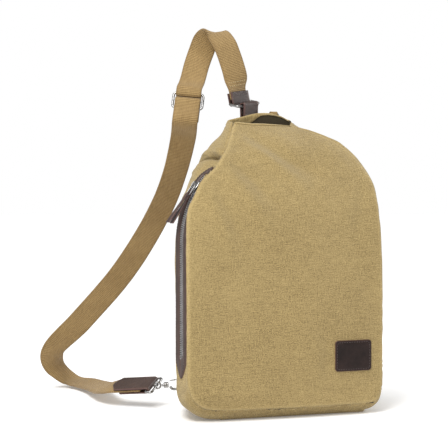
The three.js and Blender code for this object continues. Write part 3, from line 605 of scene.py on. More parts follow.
sun = bpy.data.lights.new("sky_panel", "SUN")
sun.energy, sun.angle = 1.8, math.radians(34)
aimed("sky_panel", sun, (0, 0, 0), (0.36, 0.30, -1.0))
area_light("key", (-0.60, -0.78, 0.98), (0.0, 0.0, 0.25), 0.4, 7.5)
area_light("right_rim", (1.4, 0.5, 0.9), (0.0, 0.0, 0.25), 0.5, 6)
world = bpy.data.worlds.new("studio")
scene.world = world
world.use_nodes = True
wt = world.node_tree
white, soft = wt.nodes.new("ShaderNodeBackground"), wt.nodes["Background"]
for shade, strength in ((white, 1.0), (soft, 0.50)):
    shade.inputs[0].default_value, shade.inputs[1].default_value = (1, 1, 1, 1), strength
pick = wt.nodes.new("ShaderNodeMixShader")
wt.links.new(wt.nodes.new("ShaderNodeLightPath").outputs["Is Camera Ray"], pick.inputs[0])
wt.links.new(soft.outputs[0], pick.inputs[1])
wt.links.new(white.outputs[0], pick.inputs[2])
wt.links.new(pick.outputs[0], wt.nodes["World Output"].inputs[0])

floor_mesh = bpy.data.meshes.new("floor")
floor_mesh.from_pydata([(x, y, -0.0004) for x, y in ((-30, -30), (30, -30), (30, 30), (-30, 30))], [],
                       [(0, 1, 2, 3)])
floor = bpy.data.objects.new("floor", floor_mesh)
scene.collection.objects.link(floor)
floor_mesh.materials.append(Shader("floor").finish((0.93, 0.93, 0.93, 1), 0.75, Specular_IOR_Level=0.2,
    Emission_Strength=0.14))
floor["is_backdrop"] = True

# ---------------------------------------------------------------- strap route
bar_dir = unit(0.98, 0.15, 0.06)
front_bar, rear_bar = V(-7, 55.8, 349), V(-14.8, 67, 352.5)
RING_R = 1.5
ring_centre = (front_bar + rear_bar) / 2
ring_short = unit(rear_bar - front_bar)
ring_half = np.linalg.norm(rear_bar - front_bar) / 2
ring_long = square_to(bar_dir, ring_short)
strap_up = unit(-0.19, 0.03, 0.98)
ADJ, adj_down = V(-73.5, 82, 354), unit(-0.19, -0.21, -0.96)
adj_across = square_to(unit(0.9, -0.38, -0.1), adj_down)
adj_face = unit(np.cross(adj_down, adj_across))
if adj_face[1] > 0:
    adj_face = -adj_face
BAR_GAP, LOOP_R = 9.2, RING_R + CLEAR + WEB_T / 2 + 0.1
top_bar = ADJ - adj_down * BAR_GAP
upper = [(rear_bar + strap_up * 4.2, ring_long), (rear_bar + strap_up * 15, ring_long),
         (V(-20.5, 65.5, 383), unit(0.97, 0.1, 0.17)), (V(-28, 67, 408), unit(0.96, 0.1, 0.2)),
         (V(-34, 71, 424), unit(0.96, 0.05, 0.15)), (V(-41, 81, 434.5), unit(0.97, -0.05, 0)),
         (V(-48, 91, 428), unit(0.96, -0.2, -0.1)), (V(-53, 96, 414), unit(0.95, -0.3, -0.15)),
         (V(-59, 95, 398), unit(0.94, -0.34, -0.15)), (V(-66, 90, 378), adj_across),
         (top_bar - adj_down * 6 + adj_face * LOOP_R, adj_across)]


def loop_at(bar, sign, n=12):
    """The webbing half way round a bar of the adjuster."""
    turn = [math.pi * k / n for k in range(n + 1)]
    return [(bar + adj_face * LOOP_R * math.cos(a) + adj_down * sign * LOOP_R * math.sin(a), adj_across)
            for a in turn]


end_bar, end_dir = V(-121, 72.7, 25), unit(0.78, -0.62, 0.09)
end_across = square_to(unit(0.6, 0.74, 0.33), end_dir)
lower = [(end_bar - end_dir * 8, end_across), (end_bar - end_dir * 30, end_across),
         (end_bar - end_dir * 45, end_across), (V(-162, 119, 17.5), unit(0.75, 0.6, 0.3)),
         (V(-162.5, 150, 13), unit(0.92, 0.3, 0.28)), (V(-162, 187, 9.5), unit(0.95, 0.1, 0.26)),
         (V(-169, 226, 7.5), unit(0.9, 0.3, 0.22)), (V(-182, 251, 9), unit(0.82, 0.5, 0.1)),
         (V(-199, 252, 24), unit(0.8, 0.55, -0.15)), (V(-208, 236, 47), unit(0.8, 0.35, -0.42)),
         (V(-176, 214, 87), unit(0.75, 0.05, -0.6)), (V(-127, 188, 150), unit(0.75, 0.05, -0.6)),
         (V(-92, 150, 221), unit(0.84, 0.15, -0.45)), (V(-80, 121, 267), unit(0.9, 0.15, -0.3)),
         (V(-75.5, 96, 311), unit(0.95, -0.1, -0.2)), (ADJ + adj_down * 26 + adj_face * LOOP_R, adj_across),
         (ADJ + adj_down * 8 + adj_face * LOOP_R, adj_across)]


def webbing(name, controls, tail, node):
    path = np.concatenate([through([c[0] for c in controls], 10), [c[0] for c in tail]])
    wide = np.concatenate([through([c[1] for c in controls], 10), [c[1] for c in tail]])
    ob = band(name, path, wide, WEB_W, WEB_T, WEB, [node], cols=14, crown=0.12, sway=0.5, seed=4)
    return ob, path, wide


upper_tail = loop_at(top_bar, 1) + [(top_bar + adj_down * 15 - adj_face * LOOP_R, adj_across)]
lower_tail = loop_at(ADJ, -1) + [(ADJ + adj_down * 12 - adj_face * LOOP_R, adj_across),
                                 (ADJ + adj_down * 24 - adj_face * LOOP_R, adj_across)]
strap_upper, upper_path, upper_wide = webbing("strap_upper", upper, upper_tail, "webbing_upper")
strap_lower, lower_path, lower_wide = webbing("strap_lower", lower, lower_tail, "webbing_lower")


def fold(bar, direction, leave, r, len_a, len_b, spread=0.0):
    """A strip that comes to a bar, goes half way round it and back."""
    n = unit(np.cross(direction, leave))
    out = [bar + leave * len_a * k + n * (r + spread * k) for k in (1, 0.75, 0.5, 0.25)]
    out += [bar + n * r * math.cos(a) - leave * r * math.sin(a) for a in np.linspace(0, math.pi, 17)]
    out += [bar + leave * len_b * k - n * (r + spread * k) for k in (0.25, 0.5, 0.75, 1)]
    return np.array(out), n


# adjuster, rings, hook and their leather
adjuster_frame = wire("slider_frame", rounded_loop(ADJ, adj_across, adj_down, 17.6, BAR_GAP, 3.5), adj_face,
                      1.4, True, HARDWARE, stands_for=["adjuster_frame"])
adjuster_bar = wire("slider_bar", [ADJ + adj_across * 15.8 * k for k in (-1, 0, 1)], adj_face, 1.4, False,
                    HARDWARE, stands_for=["adjuster_bar"])
ring_normal = unit(np.cross(ring_long, ring_short))
wire("strap_ring", rounded_loop(ring_centre, ring_long, ring_short, 19.6, ring_half, 2.8), ring_normal,
     RING_R, True, HARDWARE, stands_for=["top_ring"])
tab_path, tab_n = fold(front_bar, ring_long, unit(0, -0.04, -1), 2.9, 30, 30, -0.6)
band("anchor_leather", tab_path, ring_long, 26, 1.6, HIDE, ["anchor_tab"], step=1.0, crown=0.1, sway=0.25,
     seed=8)
wrap_path, wrap_n = fold(rear_bar, ring_long, strap_up, 2.6, 13, 12)
band("wrap_leather", wrap_path, ring_long, 32, 1.4, HIDE, ["strap_wrap"], step=0.9, crown=0.1, sway=0.15,
     seed=9)

back_dir = -end_dir
end_path, end_n = fold(end_bar, end_across, back_dir, 2.7, 46, 40)
end_tab = band("strap_end", end_path, end_across, lambda u: 31 * min(1, 0.25 + 12 * min(u, 1 - u)), 1.5,
               HIDE, ["end_tab"], step=1.0, crown=0.15, sway=0.2, seed=10)
hook_raw = unit(0.93, -0.367, 0.05)
ring_out = square_to(hook_raw, end_across)
end_ring = wire("end_loop", rounded_loop(end_bar + ring_out * 3.9, end_across, ring_out, 17.5, 3.9, 2.6),
                unit(np.cross(end_across, ring_out)), RING_R, True, HARDWARE, stands_for=["end_ring"])
near_bar, catch = end_bar + ring_out * 7.8, V(-89, 62.5, 26)
HOOK_L = np.linalg.norm(catch - near_bar)
hd = unit(catch - near_bar)
hook_up = square_to(UP, hd)
hook_side = np.cross(hd, hook_up)


def hk(s, z, y=0.0):
    return catch + hd * (s - 27) + hook_up * z + hook_side * y


EYE = 27 - HOOK_L
swivel_eye = wire("swivel_loop", [hk(EYE + 0.7 + 3.6 * math.cos(math.pi * k / 16),
                                     3.6 * math.sin(math.pi * k / 16)) for k in range(32)], hook_side, 1.05,
                  True, HARDWARE, stands_for=["swivel_eye"])
swivel_post = plate("swivel_pin", hk(0, 0), (hook_up, hook_side, hd), disc(1.6, 24),
                    [(0.3, EYE + 5.7), (0.0, EYE + 6.0), (0, 13.2), (0.3, 13.5)], HARDWARE, ["swivel_post"])
along = V(0, 0.25, 0.6, 1.2, 1.5, 1.8, 2.4, 3.2, 3.5, 3.8, 4.9, 5.25, 5.5)
radius = V(3.0, 3.3, 3.4, 3.4, 3.05, 3.4, 3.4, 3.4, 3.05, 3.4, 3.4, 3.3, 3.0)
hook_barrel = sweep("hook_collar", np.array([hk(8.5 + q, 0) for q in along]), np.repeat([hook_up], 13, 0),
                    np.repeat([hook_side], 13, 0), disc(1, 28)[None] * radius[:, None, None], HOOK,
                    stands_for=["hook_barrel"])
hook_path = [hk(15.9, -1.6), hk(16.8, -3.6), hk(18.6, -5.1), hk(22, -5.4), hk(25.5, -5.4)]
hook_path += [hk(25.5 + 5.4 * math.sin(math.pi * k / 12), -5.4 * math.cos(math.pi * k / 12))
              for k in range(1, 13)] + [hk(23.2, 5.4)]
hook_body = wire("hook_arm", through(hook_path, 3), hook_side, 1.6, False, HOOK, step=0.6,
                 stands_for=["hook_body"])
hook_gate = wire("hook_latch", [hk(15.4, 4.9), hk(19, 5.2), hk(22.8, 5.4)], hook_side, 0.85, False,
                 (METAL, "gate", "metal"), step=0.6, stands_for=["hook_gate"])

END_TAB_R = 2.7
corners = [(9, -12.4), (38, -12.4), (43, -8.928), (43, 8.928), (38, 12.4), (9, 12.4), (9, -12.4)]
outline = np.array([end_bar + back_dir * t + end_across * w for t, w in corners])
top_face = end_n if end_n[2] > 0 else -end_n
end_stitches = stitches("end_stitches", even(outline, 1.0)[0] + top_face * (END_TAB_R + 0.95), top_face,
                        LEATHER_THREAD, pitch=3.4)


def across_row(name, at):
    """A row of stitches across the upper strap at that length, on both its faces."""
    c, d = at_lengths([at, at + 1], lengths(upper_path), upper_path)
    w = at_lengths([at], lengths(upper_path), upper_wide)[0]
    t = unit(d - c)
    w = square_to(w, t)
    h = np.cross(t, w)
    across = w * np.linspace(-12.5, 12.5, 9)[:, None]
    return [stitches(f"{name}_{k}", c + across + h * s * 1.25, h * s, WEB_THREAD, pitch=3.0, length=2.3)
            for k, s in (("a", 1), ("b", -1))]


wrap_rows = across_row("strap_row_1", 16.5) + across_row("strap_row_2", 20.5)

# ---------------------------------------------------------------- seams of the bag
front_left = [(-36.8, 22, 326), (-45.7, 7, 312), (-55.3, -9, 297), (-64.2, -19, 286), (-74.9, -27, 273),
              (-90, -33, 260), (-101, -39, 242), (-108.8, -42, 226), (-111, -44, 190), (-111.1, -46, 120),
              (-111.1, -46, 60), (-110.6, -46, 45), (-108.3, -46, 33), (-103, -46, 23), (-95.4, -46, 16.5),
              (-86, -46, 13), (-68, -46, 11)]
front_right = [(32, 24, 323), (46, 19.5, 320), (60, 14, 315.5), (81.5, 3, 304), (93, -5, 294),
               (101.5, -12, 283), (113.5, -24, 260), (116, -32, 241), (116.5, -42, 200), (116.9, -46, 120),
               (116.9, -46, 60), (116.9, -46, 44), (116.5, -46, 32), (115, -46, 23), (112, -46, 16),
               (107, -46, 12.5), (98, -46, 11)]
back_left = [(-38, 42, 329), (-46.5, 43, 312), (-57, 44, 299), (-65, 44, 287), (-74, 44.5, 275),
             (-82, 45, 262), (-88.5, 46, 242), (-92.5, 47, 222), (-95, 49, 190), (-95, 50, 120),
             (-95, 50, 60), (-94.5, 50, 45), (-92, 50, 33), (-88, 50, 23), (-82, 50, 16), (-76, 50, 12.5),
             (-66, 50, 11)]
back_right = [(40, 42, 329), (52, 43, 319), (64, 43.5, 309), (80, 44, 294), (89, 45, 280), (96.5, 45.5, 264),
              (101, 46, 243), (103, 47, 222), (104, 49, 190), (104, 50, 120), (104, 50, 60), (104, 50, 44),
              (103.5, 50, 32), (102, 50, 23), (99, 50, 16), (94, 50, 12.5), (86, 50, 11)]
front_left, front_right, back_left, back_right = map(np.array, (front_left, front_right, back_left,
    back_right))
PUFF_FRONT, PUFF_BACK, ARCH = 4.0, 2.0, 9.0
DOWN = 8                                  # grid rows in each interval of the seams
edge_u = np.array([0, 0.003, 0.0065, 0.0105, 0.015, 0.021, 0.029])
U_COLS = np.concatenate([edge_u, np.linspace(0.038, 0.962, 92), 1 - edge_u[::-1]])


def panel_grid(left, right, puff, arch):
    L, R = through(left, DOWN), through(right, DOWN)
    u = U_COLS
    bow = 1 - (2 * u - 1) ** 2
    G = L[:, None] * (1 - u)[None, :, None] + R[:, None] * u[None, :, None]
    G[..., 1] += puff * bow
    G[..., 2] += arch * (1 - (2 * u ** 1.4 - 1) ** 2) * np.maximum(0, 1 - np.arange(len(L)) / (4 * DOWN))[:,
        None]
    return G


def edge_distance(G, edges):
    """Distance of each grid point to the nearest of the edge points."""
    flat = G.reshape(-1, 3)
    best = np.full(len(flat), 1e9)
    E = np.concatenate([even(e, 1.5)[0] for e in edges])
    for k in range(0, len(E), 64):
        best = np.minimum(best, np.min(np.linalg.norm(flat[:, None] - E[None, k:k + 64], axis=2), 1))
    return best.reshape(G.shape[:2])


def roll(d, r):
    x = np.clip(r - d, 0, r)
    return r - np.sqrt(np.maximum(0, r * r - x * x))


def ridge(P, a, b, width, height):
    """A soft crease from a to b: a raised line, tapering out at both ends."""
    a, b = np.asarray(a, float), np.asarray(b, float)
    L = np.linalg.norm(b - a)
    d = (b - a) / L
    rel = P - a
    s = rel @ d
    off = rel - s[..., None] * d
    side = np.linalg.norm(off, axis=-1)
    taper = np.sin(math.pi * np.clip(s / L, 0, 1)) ** 0.8
    beyond = np.maximum(0, np.maximum(-s, s - L))
    return height * taper * bell(side, 0, width) * bell(beyond, 0, width)


def pucker(G, e, height, size, seed):
    """Small puckers of the cloth beside a seam, from the distance e to it."""
    return height * wob(G, size, seed) * np.exp(-e / 7.0)


front_G = panel_grid(front_left, front_right, -PUFF_FRONT, 0)
front_N = normals(front_G)
fe = edge_distance(front_G, [front_G[:, 0], front_G[:, -1], front_G[-1]])
fx, fz = front_G[..., 0], front_G[..., 2]
F2 = np.stack([fx, fz], -1)
patch_free = smooth(np.maximum(np.abs(fx - 79) / 30, np.abs(fz - 66) / 25), 0.95, 1.5)
lift = 3.0 * wob(front_G, 105.0, 1) + 1.7 * wob(front_G, 46.0, 2) + 0.35 * wob(front_G, 19.0, 3)
# creases that run down from the left shoulder, and a soft sag across the middle
for a, b, w, h in [((-44, 309), (34, 246), 9, 2.6), ((-30, 310), (52, 262), 8, -2.2),
                   ((-60, 290), (2, 222), 8, -1.8), ((-70, 280), (-14, 204), 9, 2.2),
                   ((-80, 262), (-40, 180), 8, -1.4), ((-88, 250), (-56, 170), 8, 1.3),
                   ((-92, 236), (-66, 160), 7, -0.8), ((-30, 318), (60, 292), 9, 0.9),
                   ((84, 296), (36, 226), 14, 0.8), ((104, 262), (76, 176), 10, -0.8),
                   ((-104, 120), (-60, 52), 12, 0.7), ((-96, 34), (-20, 26), 9, 0.6),
                   ((10, 28), (90, 24), 8, -0.5)]:
    lift = lift + ridge(F2, a, b, w, 1.45 * h)
lift = lift - 1.4 * bell(fz, 150, 60) * bell(fx, 0, 70) + 1.2 * bell(fz, 60, 45) * bell(fx, 0, 90)
lift = lift * smooth(fe, 1.0, 22.0) * patch_free
front_S = front_G + front_N * (lift + pucker(front_G, fe, 0.28, 7.5, 5) - roll(fe, 3.6))[..., None]
cloth("front_shell", front_S, normals(front_S), SEWN_CANVAS, wear=bell(fe, 2.2, 1.8) * 0.55,
      stands_for=["front_panel"])

back_G = panel_grid(back_left, back_right, PUFF_BACK, ARCH)
back_N = normals(back_G)
be = edge_distance(back_G, [back_G[:, 0], back_G[:, -1], back_G[-1]])
back_lift = (1.1 * wob(back_G, 95.0, 6) + 0.5 * wob(back_G, 40.0, 7)
             + 0.15 * wob(back_G, 17.0, 8)) * smooth(be, 1.0, 20.0)
pinned = np.ones(back_G.shape[:2])
for x, z in ((-75.4, 20), (76.4, 20), (-7, 330), (20, 335)):
    pinned = pinned * smooth(np.hypot(back_G[..., 0] - x, back_G[..., 2] - z), 16, 34)
back_S = back_G + back_N * (back_lift * pinned + pucker(back_G, be, 0.25, 7.5, 9) - roll(be, 3.2))[..., None]
cloth("back_shell", back_S, normals(back_S), SEWN_CANVAS, wear=bell(be, 2.0, 1.8) * 0.5,
      stands_for=["back_panel"])

# ---------------------------------------------------------------- zip line
TURN = math.radians(18)
zip_in, zip_wide = V(math.cos(TURN), math.sin(TURN), 0), V(math.sin(TURN), -math.cos(TURN), 0)
ZIP_R, STRAIGHT_TOP, ZIP_END, TEETH_TOP, REST = 103.9, 190.0, 53.0, 45.6, 36.0
SLOT, TRIM, TEETH_OPEN, TEETH_LOW, TIP_LOW = 8.3, 10.25, 3.4, 67.0, 46.0
zip_foot = V(-111.7, -27, STRAIGHT_TOP)
zip_centre = zip_foot + zip_in * ZIP_R


def zip_out(a):
    return -zip_in * math.cos(math.radians(a)) + UP * math.sin(math.radians(a))


def zip_at(a):
    return zip_centre + zip_out(a) * ZIP_R


def zip_run(top, low, step):
    """Stations down the zip from an angle to a height: points, outward and downward directions."""
    arc = math.radians(top) * ZIP_R
    total = arc + STRAIGHT_TOP - low
    n = int(round(total / step)) + 1
    P, O, D = [], [], []
    for s in np.linspace(0, total, n):
        a = max(0.0, top - math.degrees(s / ZIP_R))
        O.append(zip_out(a))
        P.append(zip_at(a) if s < arc else zip_foot - UP * (s - arc))
        D.append(-zip_in * math.sin(math.radians(a)) - UP * math.cos(math.radians(a)))
    return np.array(P), np.array(O), np.array(D)


# ---------------------------------------------------------------- left side
zip_line = [(zip_at(ZIP_END * (1 - k / 8)), zip_out(ZIP_END * (1 - k / 8)))
            for k in range(9)] + [(V(zip_foot[0], -27, z), zip_out(0)) for z in (160, 130, 100, TEETH_LOW)]
slot_line = [(p, o) if i < len(zip_line) - 1 else (p - UP * 3.8, o) for i, (p, o) in enumerate(zip_line)]


def on_curve(points, z):
    fine = through(points, 8)
    for i in range(1, len(fine)):
        if fine[i][2] <= z:
            t = (fine[i - 1][2] - z) / max(1e-6, fine[i - 1][2] - fine[i][2])
            return fine[i - 1] * (1 - t) + fine[i] * t
    return fine[-1]


def tuck_front(p, lean):
    return p + V(0.5 if p[0] < 0 else -0.5, SEAM_BACK, -0.8 * lean)


def tuck_back(p):
    return p + V(0.5 if p[0] < 0 else -0.5, -SEAM_BACK, 0)


left_rows = []


def left_row(F, lean, over, Z, wide, slot, edge, out, B, puffs):
    f, b = tuck_front(F, lean) + V(over, 0, 0), tuck_back(B)
    at = lambda k: Z + wide * k
    rear = at(-edge)
    row = [f, at(edge), at(slot), at(-slot), rear]
    row += [rear * (1 - t) + b * t + out * q for t, q in zip((0.35, 0.75, 0.93), puffs)]
    left_rows.append(row + [b])


for i, Z, s in ((0, V(-38.5, 28, 327), 2), (1, V(-48, 15.5, 311), 3.5), (2, V(-57.2, 2, 295.5), 5.5),
                (3, V(-65, -7.5, 283.5), 7)):
    left_row(front_left[i], 1, (0.3, 1.2, 2.5, 4.2)[i], Z, unit(zip_wide * 0.5 + V(0, -0.5, 0)), s,
             s + 1.9 * s / SLOT, zip_out(60), back_left[i], [q * s / 5 for q in (1.5, 2, 1)])
SLOT_FROM = len(left_rows)
for p, o in slot_line:
    lean = min(1, max(0, (p[2] - 180) / 40))
    left_row(on_curve(front_left, p[2] + 0.5), lean, 5.5 * min(1, max(0, (p[2] - STRAIGHT_TOP) / 60)), p,
             zip_wide, SLOT, TRIM, o, on_curve(back_left, p[2] + 2), [1.5, 2, 1])
SLOT_TO = len(left_rows) - 1
left_row(V(-111.1, -46, 54), 0, 0, V(-111.7, -27, 54), zip_wide, SLOT, TRIM, zip_out(0), V(-94.8, 50, 54),
         [1.5, 2, 1])
LOW_PART, LOW_FULL = [0, 0.05, 0.13, 0.274, 0.296, 0.56, 0.87, 0.95, 1], [0, 0.6, 1, 1, 1, 1, 1, 0.6, 0]
for k, (i, Z, a) in enumerate(((11, V(-111.9, -27, 44), 0), (12, V(-113.3, -27, 32), 15),
                               (13, V(-111.7, -27, 21), 40), (14, V(-105, -27, 12), 58),
                               (15, V(-93, -27, 4.5), 72), (16, V(-68, -27, 0), 90))):
    t, out = (k + 1) / 6, V(-math.cos(math.radians(a)), 0, -math.sin(math.radians(a)))
    f, b = tuck_front(front_left[i], 0) + V(0, 0.3 * t, 2.3 * t), tuck_back(back_left[i]) + V(0, 0, 0.5 * t)
    deep = np.dot(Z - (f * 0.82 + b * 0.18), out)
    rear = Z - zip_wide * TRIM
    tall = [f, Z + zip_wide * TRIM, Z + zip_wide * SLOT, Z - zip_wide * SLOT,
            rear] + [rear * (1 - q) + b * q + out * h for q, h in ((0.35, 1.5), (0.75, 2), (0.93, 1))] + [b]
    low = [f * (1 - q) + b * q + out * deep * full for q, full in zip(LOW_PART, LOW_FULL)]
    left_rows.append([p * (1 - t) + q * t for p, q in zip(tall, low)])
LEFT_DOWN, LEFT_COLS = 10, [9, 3, 6, 2, 9, 14, 8, 8]
left_G = refine(left_rows, LEFT_DOWN, LEFT_COLS)
left_G[..., 2] = np.maximum(0.15, left_G[..., 2])
left_N = normals(left_G, V(-20, 5, 120))
slot_cols = range(sum(LEFT_COLS[:2]), sum(LEFT_COLS[:3]))
keep = np.ones((left_G.shape[0] - 1, left_G.shape[1] - 1), bool)
keep[(SLOT_FROM + 1) * LEFT_DOWN:SLOT_TO * LEFT_DOWN, list(slot_cols)] = False
le = edge_distance(left_G, [left_G[:, 0], left_G[:, -1]])
zp, zo, zd = zip_run(ZIP_END, TIP_LOW, 2.0)
zdist = edge_distance(left_G, [zp])
off_zip = smooth(zdist, TRIM - 1.0, TRIM + 12)
left_lift = (1.6 * wob(left_G, 60.0, 11) + 0.8 * wob(left_G, 26.0, 12)
             + 0.2 * wob(left_G, 12.0, 13)) * smooth(le, 1.0, 14.0) * off_zip
left_lift = left_lift * smooth(left_G[..., 2], 4, 30)


def crease(G, line, width, drop, bulge, full=0.0, tail=0.2):
    """A fold along a line of points: the cloth above it swells and the cloth just under it is pulled in."""
    line = even(through(line, 6), 2.0)[0]
    flat = G.reshape(-1, 3)
    d = np.linalg.norm(flat[:, None] - line[None], axis=2)
    k = d.argmin(1)
    rel = flat - line[k]
    above = np.sign(rel[:, 2] + 1e-6) * np.linalg.norm(rel, axis=1)
    run = k / (len(line) - 1)
    fade = smooth(run, -0.02, 0.2) * smooth(1 - run, -0.02, tail)
    above = above / width
    up = bell(above, 1.1, 0.9) * bulge + bell(above, 3.2, 2.0) * full * 0.4
    low = bell(above, -1.5, 0.8) * bulge * 0.5 + bell(above, -3.6, 2.4) * full
    return ((up - bell(above, -0.2, 0.34) * drop + low) * fade).reshape(G.shape[:2])


shoulder = [(-63, -16, 285), (-65, 3, 285), (-67.5, 20, 283.5), (-72, 33, 279.5), (-79, 40, 271.5),
            (-86, 42, 261)]
left_lift = left_lift + crease(left_G, shoulder, 6.0, 13.0, 5.0, tail=0.7) * smooth(le, 0.0, 4.0)
left_lift = left_lift + crease(left_G, shoulder, 6.0, 0.0, 0.0, full=4.5, tail=0.5) * smooth(le, 0.0,
    10.0) * off_zip
left_lift = left_lift + crease(left_G, [(-100, -8, 236), (-101, 12, 234), (-97, 34, 222)], 9.0, 2.2,
                               1.2) * smooth(le, 0.5, 8.0) * off_zip
left_lift = left_lift + pucker(left_G, le, 0.25, 7.5, 14) - roll(le, 2.4) * 0.9
left_S = left_G + left_N * left_lift[..., None]
left_S[..., 2] = np.maximum(0.15, left_S[..., 2])
cloth("left_side", left_S, normals(left_S, V(-20, 5, 120)), SEWN_CANVAS, keep=keep,
      wear=bell(le, 1.8, 1.6) * 0.35, stands_for=["left_gusset"])

# ---------------------------------------------------------------- right side and bottom
PART, FULL, BOTTOM_DEPTH = [0, 0.05, 0.13, 0.35, 0.65, 0.87, 0.95, 1], [0, 0.6, 1, 1, 1, 1, 0.6, 0], 11.5


def across_section(F, B, out, deep):
    return [F * (1 - t) + B * t + out * deep * f for t, f in zip(PART, FULL)]


right_out = [(60, 0.5), (62, 2), (60, 3), (48, 5), (42, 6), (35, 6.5), (15, 6), (5, 5), (0, 4), (0, 4),
             (0, 4), (0, 4), (-8, 4.5), (-25, 6.5), (-45, 8.5), (-70, 10.2), (-90, BOTTOM_DEPTH)]
right_rows = []
for i, F in enumerate(front_right):
    lean = min(1, max(0, (F[2] - 190) / 50))
    a, deep = right_out[i]
    t = max(0, (i - 12) / 4)
    right_rows.append(across_section(tuck_front(F, lean) + V(0, 0.3 * t, 2.3 * t),
                                     tuck_back(back_right[i]) + V(0, 0, 0.5 * t),
                                     V(math.cos(math.radians(a)), 0, math.sin(math.radians(a))), deep))
right_G = refine(right_rows, 7, [6, 5, 7, 9, 7, 5, 6])
right_G[..., 2] = np.maximum(0.15, right_G[..., 2])
right_N = normals(right_G, V(20, 5, 120))
rd = edge_distance(right_G, [right_G[:, 0], right_G[:, -1]])
right_lift = (1.8 * wob(right_G, 62.0, 15) + 0.8 * wob(right_G, 28.0, 16)
              + 0.2 * wob(right_G, 13.0, 17)) * smooth(rd, 1.0, 16.0) * smooth(right_G[..., 2], 4, 30)
for line, w, d, b in (([(74, 10, 307), (88, 22, 296), (97, 34, 284)], 7.0, 2.6, 1.2),
                      ([(118, -20, 236), (119, 0, 226), (112, 24, 214)], 9.0, 1.8, 1.0),
                      ([(119, -30, 110), (120, 0, 100), (112, 30, 112)], 12.0, 1.2, 0.8)):
    right_lift = right_lift + crease(right_G, line, w, d, b) * smooth(rd, 0.5, 9.0)
rolled = roll(rd, 2.4) * (0.9 - 0.8 * smooth(right_G[..., 2], 225, 280))
right_S = right_G + right_N * (right_lift + pucker(right_G, rd, 0.25, 7.5, 18) - rolled)[..., None]
right_S[..., 2] = np.maximum(0.15, right_S[..., 2])
cloth("right_side", right_S, normals(right_S, V(20, 5, 120)), SEWN_CANVAS, wear=bell(rd, 1.8, 1.6) * 0.35,
      stands_for=["right_gusset"])

bottom_rows = []
for t in np.linspace(0, 1, 5):
    F = V(-69.5, -46, 13.3) * (1 - t) + V(99.5, -46, 13.3) * t + V(0, SEAM_BACK + 0.3, 0)
    B = V(-67.5, 50, 11.5) * (1 - t) + V(87.5, 50, 11.5) * t - V(0, SEAM_BACK, 0)
    row = across_section(F, B, V(0, 0, -1), BOTTOM_DEPTH)
    for k, p in enumerate(row):
        if FULL[k] == 1:
            p[2] = 0
    bottom_rows.append(row)
bottom_G = refine(bottom_rows, 14, [6, 5, 6, 8, 6, 5, 6])
bottom_G[..., 2] = np.maximum(0.0, bottom_G[..., 2])
ge = edge_distance(bottom_G, [bottom_G[:, 0], bottom_G[:, -1]])
bottom_N = normals(bottom_G)
bottom_S = bottom_G + bottom_N * (pucker(bottom_G, ge, 0.22, 8.0, 19) - roll(ge, 2.2) * 0.9)[..., None]
bottom_S[..., 2] = np.maximum(0.0, bottom_S[..., 2])
cloth("bottom_cloth", bottom_S, normals(bottom_S), SEWN_CANVAS, wear=bell(ge, 1.8, 1.6) * 0.6,
      stands_for=["bottom_panel"])


# ---------------------------------------------------------------- mouth hems, lining, pad
def hem(name, S, rows, stands_for, i0, i1, deep, inner_deep, narrows=None, sewn=True):
    """A folded hem over a panel's top edge, sewn with a row of stitches or plain."""
    N = normals(S)
    top = S[0, i0:i1]
    n = N[0, i0:i1]
    d = unit(S[rows, i0:i1] - S[0, i0:i1])
    n = square_to(n, d)
    path, n, d = even(top, 2.5, n, d)
    d, n = unit(d), unit(n)
    face = [(0.75, deep), (0.85, deep - 0.5), (0.9, deep * 0.5), (0.85, 1.2), (0.55, -0.3), (-0.1, -1.0),
            (-0.8, -1.25), (-1.5, -1.0), (-2.1, -0.3), (-2.45, 1.2), (-2.5, inner_deep * 0.5),
            (-2.5, inner_deep - 0.4), (-2.35, inner_deep)]
    back = [(-1.75, inner_deep - 0.1), (-1.75, inner_deep * 0.5), (-1.65, 1.4), (-1.2, 0.1), (-0.8, -0.2),
            (-0.35, 0.1), (0.05, 1.4), (0.1, deep * 0.5), (0.1, deep)]
    sec = np.array(face + back)
    w = np.concatenate([np.array([0.5, 0.7, 0.2, 0.3, 0.9, 1.0, 1.0, 0.6, 0.3, 0, 0, 0, 0]),
                        np.zeros(len(back))])
    q = path[:, None] + d[:, None] * sec[None, :, 1:]
    S2 = np.repeat(sec[None], len(path), 0)
    S2[..., 0] += 0.28 * wob(q, 8.0, 21)
    S2[..., 1] += 0.25 * wob(q, 14.0, 22)
    if narrows:
        S2[:, 10:15, 1] *= 1 - 0.8 * smooth(path[:, :1], *narrows)
    fix_normals(sweep(name, path, n, d, S2, (CLOTH, "bag", "canvas"), wear=w * 0.8, stands_for=stands_for))
    if sewn:
        stitches(f"{name}_stitches", path + d * (deep - 1.6) + n * 1.0, n, (THREAD, "bag", "canvas"),
                 pitch=3.4)


hem("mouth_hem_front", front_S, 6, ["mouth_facing_front"], 2, -2, 2.6, 9.0, sewn=False)
hem("mouth_hem_back", back_S, 4, ["mouth_facing_back"], 2, -2, 6.0, 9.0, narrows=(-12, 4))


def panel_part(G, i0, i1, u0, u1, n=40):
    """Part of a panel between two of its control rows and two shares of its width, in n even columns."""
    rows = G[int(i0 * DOWN):int(i1 * DOWN) + 1]
    q = np.linspace(u0, u1, n)
    return np.stack([[[np.interp(x, U_COLS, r[:, k]) for k in range(3)] for x in q] for r in rows])


